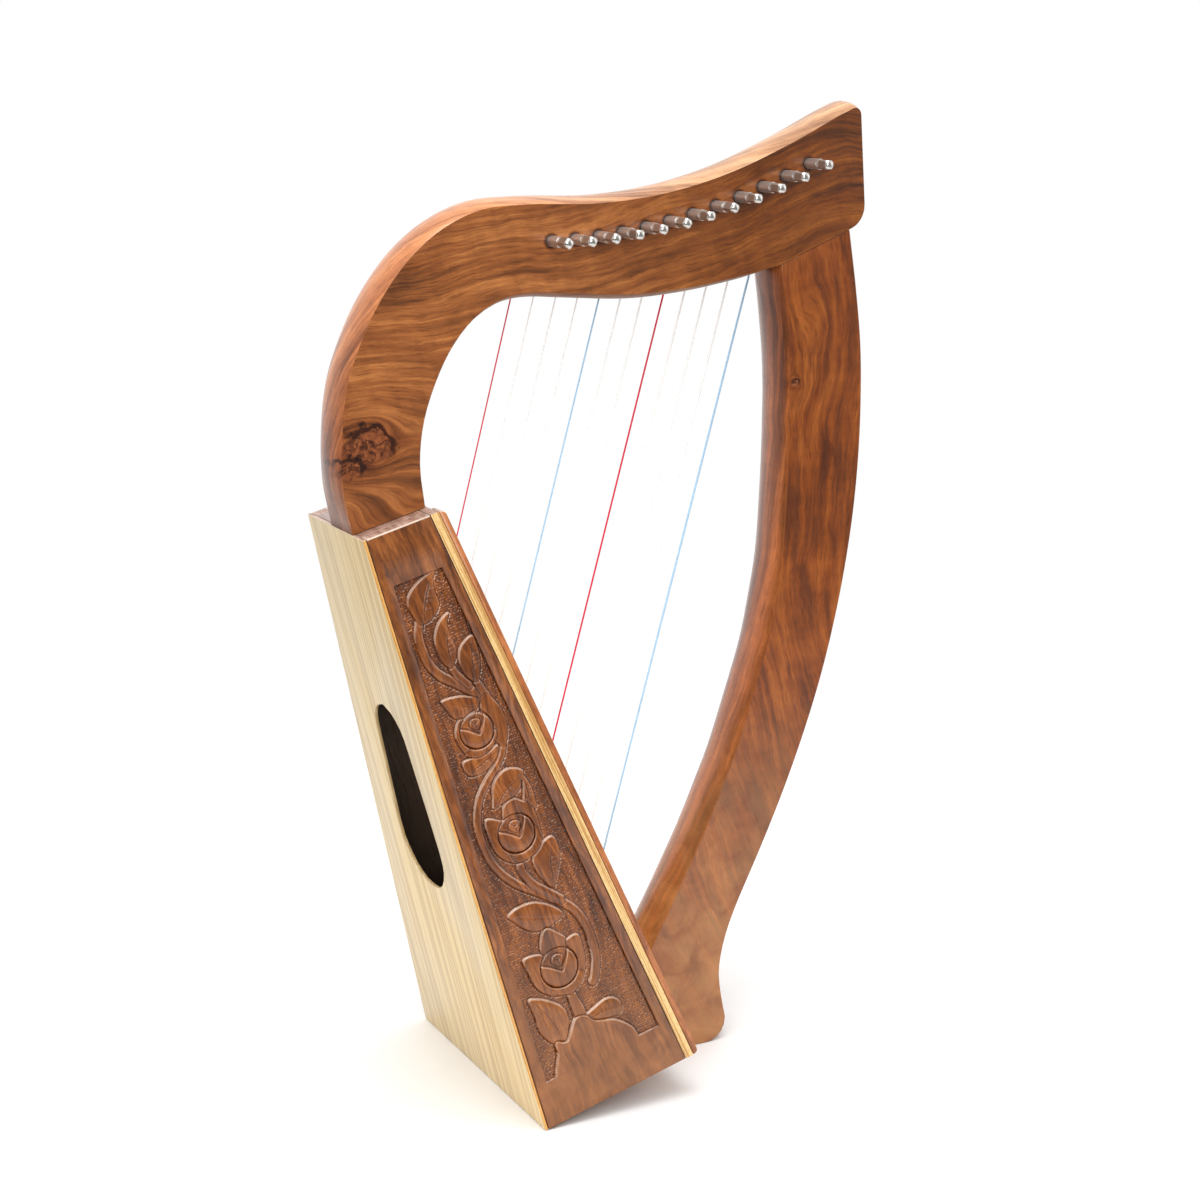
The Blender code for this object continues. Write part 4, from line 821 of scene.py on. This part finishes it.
class Relief:
    """Height over the sunk panel's floor, on a grid of points in the plane of the cheek."""

    def __init__(self):
        self.v = np.linspace(PANEL_LOW * slant(), PANEL_HIGH * slant(), CARVING_ROWS + 1)[:, None]
        z = self.v / slant()
        lean = BACK_RAKE / BOX_HEIGHT
        low = PANEL_BACK_MARGIN + lean * z
        high = DEPTH_BOTTOM / MM + (DEPTH_TOP - DEPTH_BOTTOM + BACK_RAKE) / BOX_HEIGHT * z - PANEL_FRONT_MARGIN
        share = np.linspace(0.0, 1.0, CARVING_COLUMNS + 1)[None, :]
        self.x = low + (high - low) * share
        self.v = np.broadcast_to(self.v, self.x.shape).copy()
        self.marks = self.stipple()
        self.height = GROUND_HEIGHT - STIPPLE_DEPTH * self.marks
        self.raised = np.zeros_like(self.height)

    def stipple(self):
        """Round punch marks, one in each cell of a grid, moved about."""
        rng = np.random.RandomState(5)
        count = STIPPLE_CELLS
        offsets = rng.uniform(0.28, 0.72, (count, count, 2))
        force = rng.uniform(0.35, 1.0, (count, count))
        column = np.floor(self.x / STIPPLE_PITCH).astype(int)
        row = np.floor(self.v / STIPPLE_PITCH).astype(int)
        marks = np.zeros_like(self.x)
        for across in (-1, 0, 1):
            for up in (-1, 0, 1):
                c, r = column + across, row + up
                centre = offsets[c % count, r % count]
                dx = self.x - (c + centre[..., 0]) * STIPPLE_PITCH
                dv = self.v - (r + centre[..., 1]) * STIPPLE_PITCH
                dent = force[c % count, r % count] * np.exp(-(dx ** 2 + dv ** 2) / STIPPLE_RADIUS ** 2)
                marks = np.maximum(marks, dent)
        return marks

    def window(self, points, margin):
        low = points.min(0) - margin
        high = points.max(0) + margin
        rows = np.where((self.v[:, 0] > low[1]) & (self.v[:, 0] < high[1]))[0]
        return slice(rows[0], rows[-1] + 1) if len(rows) else slice(0, 0)

    def distance(self, line, rows):
        """Distance to a line of points, and the share of the way along it."""
        x, v = self.x[rows], self.v[rows]
        best = np.full(x.shape, 1e9)
        share = np.zeros(x.shape)
        for index, (a, b) in enumerate(zip(line, line[1:])):
            along = b - a
            t = ((x - a[0]) * along[0] + (v - a[1]) * along[1]) / max(1e-9, along @ along)
            t = np.clip(t, 0.0, 1.0)
            d = np.hypot(x - a[0] - t * along[0], v - a[1] - t * along[1])
            share = np.where(d < best, (index + t) / (len(line) - 1), share)
            best = np.minimum(best, d)
        return best, share

    def inside(self, outline, rows):
        x, v = self.x[rows], self.v[rows]
        found = np.zeros(x.shape, bool)
        for a, b in zip(outline, np.roll(outline, -1, axis=0)):
            if a[1] == b[1]:
                continue
            crosses = (v > min(a[1], b[1])) & (v <= max(a[1], b[1]))
            found ^= crosses & (x < a[0] + (v - a[1]) * (b[0] - a[0]) / (b[1] - a[1]))
        return found

    def lay(self, rows, depth_in, level, edge):
        """Lays a form over what is there: depth_in is how far inside its edge each point is."""
        cover = np.clip(depth_in / edge + 0.5, 0.0, 1.0)
        cover = cover * cover * (3.0 - 2.0 * cover)
        shadow = 0.50 * np.exp(-((depth_in + 0.42) / 0.38) ** 2)
        under = np.maximum(self.height[rows] - shadow, LEAST_HEIGHT)
        self.height[rows] = under * (1.0 - cover) + level * cover
        self.raised[rows] = np.maximum(self.raised[rows], cover)

    def patch(self, outline, top, dome=0.0, tilt=(0.0, 0.0), edge=FORM_EDGE):
        """A raised form with a smooth outline, higher in its middle by dome and sloping by tilt."""
        curve = curve_through(outline, True)
        rows = self.window(curve, 2.0)
        distance, _ = self.distance(np.vstack([curve, curve[:1]]), rows)
        depth_in = np.where(self.inside(curve, rows), distance, -distance)
        middle = curve.mean(0)
        slope = (self.x[rows] - middle[0]) * tilt[0] + (self.v[rows] - middle[1]) * tilt[1]
        level = top + slope - dome * np.exp(-np.maximum(depth_in, 0.0) / 1.6)
        self.lay(rows, depth_in, np.clip(level, 0.5, PANEL_DEPTH), edge)

    def stem(self, points, start_half, end_half, top=1.75):
        line = curve_through(points, False)
        rows = self.window(line, 6.0)
        distance, share = self.distance(line, rows)
        half = start_half + (end_half - start_half) * share
        level = top - 0.55 * (distance / half) ** 2
        self.lay(rows, half - distance, level, FORM_EDGE)

    def groove(self, points, width, depth, tapered=True):
        """A cut along a curve, or a ridge where depth is negative."""
        line = curve_through(points, False)
        rows = self.window(line, 3.0)
        distance, share = self.distance(line, rows)
        taper = np.sin(np.pi * np.clip(0.12 + 0.80 * share, 0.0, 1.0)) ** 0.5 if tapered else 1.0
        self.height[rows] -= depth * taper * np.exp(-(distance / width) ** 2)

    def leaf(self, outline, midrib):
        self.patch(outline, 1.80, 0.50)
        self.groove(midrib, 0.30, -0.32)
        self.groove(np.array(midrib) + (0.55, -0.25), 0.28, 0.42)
        line = curve_through(midrib, False, 4)
        for share in (0.28, 0.42, 0.56, 0.70):
            index = int(share * (len(line) - 1))
            along = line[index + 1] - line[index]
            along = along / np.hypot(*along)
            across = np.array([-along[1], along[0]])
            if across[1] > 0.0:
                across = -across
            start = line[index] + across * 0.8
            self.groove([start, start + along * 0.9 + across * 0.9, start + along * 1.2 + across * 2.6], 0.28, -0.40)

    def rose(self, centre, radius, petals):
        middle = np.array(centre)
        unit = radius / 9.0

        def placed(points):
            return [middle + unit * np.array(p) for p in points]

        for outline in petals:
            away = np.array(outline).mean(0) - middle
            away = away / np.hypot(*away)
            self.patch(outline, 1.40, 0.20, tuple(0.075 * away))
        turns = np.arange(13) * math.pi / 6.0
        ring = [middle + radius * np.array([math.cos(a), math.sin(a)]) for a in turns]
        self.patch(ring[:-1], 1.90, 0.70)
        self.groove([middle + (p - middle) * (1.0 + 0.5 / radius) for p in ring], 0.34, 0.75, False)
        hollow = [(-7.6, 4.9), (-3.5, 7.6), (1.0, 8.5), (5.2, 7.0), (3.8, 3.0), (0.5, -1.6), (-3.8, 2.0)]
        self.patch(placed(hollow), 0.85, 0.0, (0.0, -0.04))
        self.patch(placed([(-2.8, 3.6), (-1.2, 6.2), (1.4, 6.2), (3.2, 4.2), (0.5, 0.4)]), 1.45, 0.35)
        self.groove(placed([(-8.4, 4.7), (-4.0, 8.3), (1.0, 9.3), (5.6, 7.7)]), 0.36, -0.50)
        self.groove(placed([(-8.4, 4.6), (-4.0, 2.0), (0.6, -1.9)]), 0.38, 0.95)
        self.groove(placed([(5.8, 6.6), (3.9, 2.8), (0.6, -1.9)]), 0.38, 0.95)
        self.groove(placed([(-1.4, 5.6), (0.2, 3.6), (2.4, 5.2)]), 0.30, 0.60)
        self.groove(placed([(0.2, 3.6), (0.5, 0.6)]), 0.28, 0.50)
        for turn in (222.0, 246.0, 270.0, 294.0):
            along = np.array([math.cos(turn * DEG), math.sin(turn * DEG)])
            across = np.array([-along[1], along[0]])
            start = middle + along * (radius + 1.6)
            self.groove([start - across * 1.2, start + along * 0.5, start + across * 1.2], 0.26, -0.30)

    def tone(self):
        """Painted light and shade: 0.5 on even wood, less for painted shade in hollows, more for painted highlights on
        edges that face up the panel.
        """
        rounded = self.height
        for _ in range(3):
            rounded = soften(rounded)
        rise = self.height - rounded
        slope = np.gradient(self.height, axis=0) / np.gradient(self.v, axis=0)
        upward = np.clip(-1.3 * slope, 0.0, 1.0)
        rise = np.where(rise > 0.0, rise * (0.35 + 0.9 * upward), rise)
        ground = 1.0 - self.raised
        # Raised forms: painted shade round their feet and painted highlights on their edges, more where they face up
        form = 1.15 * rise * (1.0 - 0.6 * ground) + 0.12 * upward * self.raised
        # Stipple: painted glints where the dents look up, painted shade in their middles
        stipple_light_and_shade = ground * (1.15 * upward - 0.52 * self.marks - 0.04)
        # Painted shadow along the panel's top and front walls
        to_front = (self.x[:, -1:] - self.x)
        to_top = (self.v[-1:, :] - self.v)
        corner = np.exp(-(to_front / 0.55) ** 2) + np.exp(-(to_top / 0.75) ** 2)
        return np.clip(0.5 + form + stipple_light_and_shade - 0.5 * ground * corner, 0.0, 1.0)


def soften(field):
    """A field blurred by one step each way."""
    for axis in (0, 1):
        before = np.concatenate([field.take([0], axis), field.take(range(field.shape[axis] - 1), axis)], axis)
        after = np.concatenate([field.take(range(1, field.shape[axis]), axis), field.take([-1], axis)], axis)
        field = 0.25 * before + 0.5 * field + 0.25 * after
    return field


def carve_relief():
    relief = Relief()
    for points, start_half, end_half in STEMS:
        relief.stem(points, start_half, end_half)
    for outline, midrib in LEAVES:
        relief.leaf(outline, midrib)
    for centre, radius, petals in ROSES:
        relief.rose(centre, radius, petals)
    relief.patch(BASE_OUTLINE, PANEL_DEPTH, 0.0)
    relief.height = np.clip(relief.height, LEAST_HEIGHT, PANEL_DEPTH)
    return relief


def cheek_point(x, v, height, side):
    """World points from places in the plane of a cheek and heights over the sunk panel's floor."""
    lean = math.atan2(HALF_WIDTH_BOTTOM - HALF_WIDTH_TOP, BOX_HEIGHT)
    z = v / slant() * MM
    wide = HALF_WIDTH_BOTTOM + (HALF_WIDTH_TOP - HALF_WIDTH_BOTTOM) * z / BOX_HEIGHT
    depth = (PANEL_DEPTH - height) * MM
    y = side * (wide - depth * math.cos(lean))
    z = z - depth * math.sin(lean)
    return np.stack([x * MM, y, z], -1)


def make_carving(name, side, relief, tones, material):
    """The carved wood in a cheek's sunk panel, a closed solid that lies on the panel's floor."""
    rows, columns = relief.x.shape
    top = cheek_point(relief.x, relief.v, relief.height, side).reshape(-1, 3)
    index = np.arange(rows * columns).reshape(rows, columns)
    rim = np.concatenate([index[0, :-1], index[:-1, -1], index[-1, :0:-1], index[:0:-1, 0]])
    flat = cheek_point(relief.x, relief.v, np.full(relief.x.shape, 0.03), side).reshape(-1, 3)[rim]
    points = np.vstack([top, flat])
    turn = np.array(box_to_world())
    points = points @ turn[:3, :3].T + turn[:3, 3]
    quads = np.stack([index[:-1, :-1], index[:-1, 1:], index[1:, 1:], index[1:, :-1]], -1).reshape(-1, 4)
    below = rows * columns + np.arange(len(rim))
    skirt = np.stack([rim, below, np.roll(below, -1), np.roll(rim, -1)], -1)
    faces = quads.tolist() + skirt.tolist() + [below[::-1].tolist()]
    if side > 0:
        faces = [face[::-1] for face in faces]
    mesh = bpy.data.meshes.new(name)
    mesh.from_pydata(points.tolist(), [], faces)
    mesh.materials.append(material)
    mesh.polygons.foreach_set("use_smooth", [True] * len(quads) + [False] * (len(skirt) + 1))
    # Painted light and shade for each point of the carving's top
    tone = mesh.attributes.new("tone", "FLOAT", "POINT")
    values = np.full(len(points), 0.2, np.float32)
    values[: rows * columns] = tones.reshape(-1)
    tone.data.foreach_set("value", values)
    mesh.set_sharp_from_angle(angle=70.0 * DEG)
    mesh.update()
    carving = bpy.data.objects.new(name, mesh)
    bpy.context.scene.collection.objects.link(carving)
    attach(carving, "frame")


def make_carvings():
    relief = carve_relief()
    tones = relief.tone()
    material = carved("carved rosewood")
    make_carving("carving_right", -1, relief, tones, material)
    make_carving("carving_left", 1, relief, tones, material)


# Eyelets round the strings where they leave the rib

EYELET_PROFILE = [(0.95, -1.6), (1.18, -1.6), (1.18, 0.04), (2.05, 0.04), (2.25, 0.20), (2.05, 0.42), (1.5, 0.55), (1.05, 0.40), (0.95, 0.05)]
EYELET_STEPS = 28
RIB_FACE = 4.2 * MM + 0.3 * MM + 2.5 * MM
STRING_FIRST_HEIGHT = 262.4 * MM
STRING_STEP = 18.23 * MM


def front_x(z):
    return BACK_RAKE * z / BOX_HEIGHT + DEPTH_BOTTOM + (DEPTH_TOP - DEPTH_BOTTOM) * z / BOX_HEIGHT


def make_eyelets(material):
    fall = (DEPTH_BOTTOM - DEPTH_TOP - BACK_RAKE) / BOX_HEIGHT
    out = Vector((1.0, 0.0, fall)).normalized()
    for number in range(STRING_COUNT):
        z = STRING_FIRST_HEIGHT - number * STRING_STEP
        seat = Vector((front_x(z) + RIB_FACE * math.hypot(1.0, fall), 0.0, z))
        bm = bmesh.new()
        rings = []
        for radius, height in EYELET_PROFILE:
            ring = []
            for step in range(EYELET_STEPS):
                angle = 2.0 * math.pi * step / EYELET_STEPS
                ring.append(bm.verts.new((radius * MM * math.cos(angle), radius * MM * math.sin(angle), height * MM)))
            rings.append(ring)
        for first, second in zip(rings, rings[1:] + rings[:1]):
            for step in range(EYELET_STEPS):
                after = (step + 1) % EYELET_STEPS
                bm.faces.new((first[step], first[after], second[after], second[step]))
        bmesh.ops.recalc_face_normals(bm, faces=bm.faces)
        mesh = bpy.data.meshes.new("eyelet")
        bm.to_mesh(mesh)
        bm.free()
        mesh.shade_smooth()
        mesh.set_sharp_from_angle(angle=40.0 * DEG)
        mesh.materials.append(material)
        eyelet = bpy.data.objects.new(f"eyelet_{number + 1:02d}", mesh)
        turn = out.to_track_quat("Z", "Y").to_matrix().to_4x4()
        eyelet.matrix_world = box_to_world() @ Matrix.Translation(seat) @ turn
        bpy.context.scene.collection.objects.link(eyelet)
        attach(eyelet, "frame")


# Surroundings

def make_camera():
    data = bpy.data.cameras.new("camera")
    data.lens = CAMERA_LENS
    data.sensor_width = 36.0
    camera = bpy.data.objects.new("camera", data)
    camera.location = CAMERA_PLACE
    camera.rotation_euler = (math.pi / 2.0 - CAMERA_DIP, 0.0, -CAMERA_HEADING)
    bpy.context.scene.collection.objects.link(camera)
    bpy.context.scene.camera = camera


def make_floor():
    bm = bmesh.new()
    bmesh.ops.create_circle(bm, cap_ends=True, segments=96, radius=FLOOR_RADIUS)
    mesh = bpy.data.meshes.new("floor")
    bm.to_mesh(mesh)
    bm.free()
    mesh.materials.append(floor_material())
    floor = bpy.data.objects.new("floor", mesh)
    floor.location = (0.0, 0.0, -0.0002)
    bpy.context.scene.collection.objects.link(floor)


def make_light(name, place, target, size, power, color=(1.0, 1.0, 1.0)):
    data = bpy.data.lights.new(name, "AREA")
    data.shape = "RECTANGLE"
    data.size, data.size_y = size
    data.energy = power
    data.color = color
    light = bpy.data.objects.new(name, data)
    light.location = place
    light.rotation_euler = (Vector(target) - Vector(place)).to_track_quat("-Z", "Y").to_euler()
    bpy.context.scene.collection.objects.link(light)


def make_world():
    """A white studio, which lights the harp less from behind the photographer."""
    world = bpy.data.worlds.new("studio")
    world.use_nodes = True
    tree = world.node_tree
    background = tree.nodes["Background"]
    place = tree.nodes.new("ShaderNodeTexCoord")
    ahead = tree.nodes.new("ShaderNodeVectorMath")
    ahead.operation = "DOT_PRODUCT"
    ahead.inputs[1].default_value = (math.sin(CAMERA_HEADING), math.cos(CAMERA_HEADING), 0.55)
    tree.links.new(place.outputs["Generated"], ahead.inputs[0])
    ramp = tree.nodes.new("ShaderNodeMapRange")
    for key, value in zip(("From Min", "From Max", "To Min", "To Max"), (-0.60, 0.35, 0.16, 1.0)):
        ramp.inputs[key].default_value = value
    seen = tree.nodes.new("ShaderNodeLightPath")
    strength = tree.nodes.new("ShaderNodeMix")
    tree.links.new(ahead.outputs["Value"], ramp.inputs["Value"])
    tree.links.new(seen.outputs["Is Camera Ray"], strength.inputs[0])
    tree.links.new(ramp.outputs["Result"], strength.inputs[2])
    strength.inputs[3].default_value = 1.0
    tree.links.new(strength.outputs[0], background.inputs["Strength"])
    background.inputs["Color"].default_value = (1.0, 1.0, 1.0, 1.0)
    bpy.context.scene.world = world
    bpy.context.scene.view_settings.view_transform = "Standard"


def make_lights():
    middle = (0.0, 0.0, 0.25)
    make_light("top", (-0.35, -0.35, 1.85), middle, (1.4, 1.4), 24.0)
    make_light("front", (-1.1, -1.7, 1.1), middle, (1.2, 1.2), 18.5, (1.0, 0.985, 0.96))
    make_light("right", (1.5, -0.9, 0.7), middle, (1.0, 1.4), 4.0, (1.0, 0.99, 0.98))


make_camera()
make_floor()
make_world()
make_lights()
brass = dress_nodes()
make_carvings()
make_eyelets(brass)
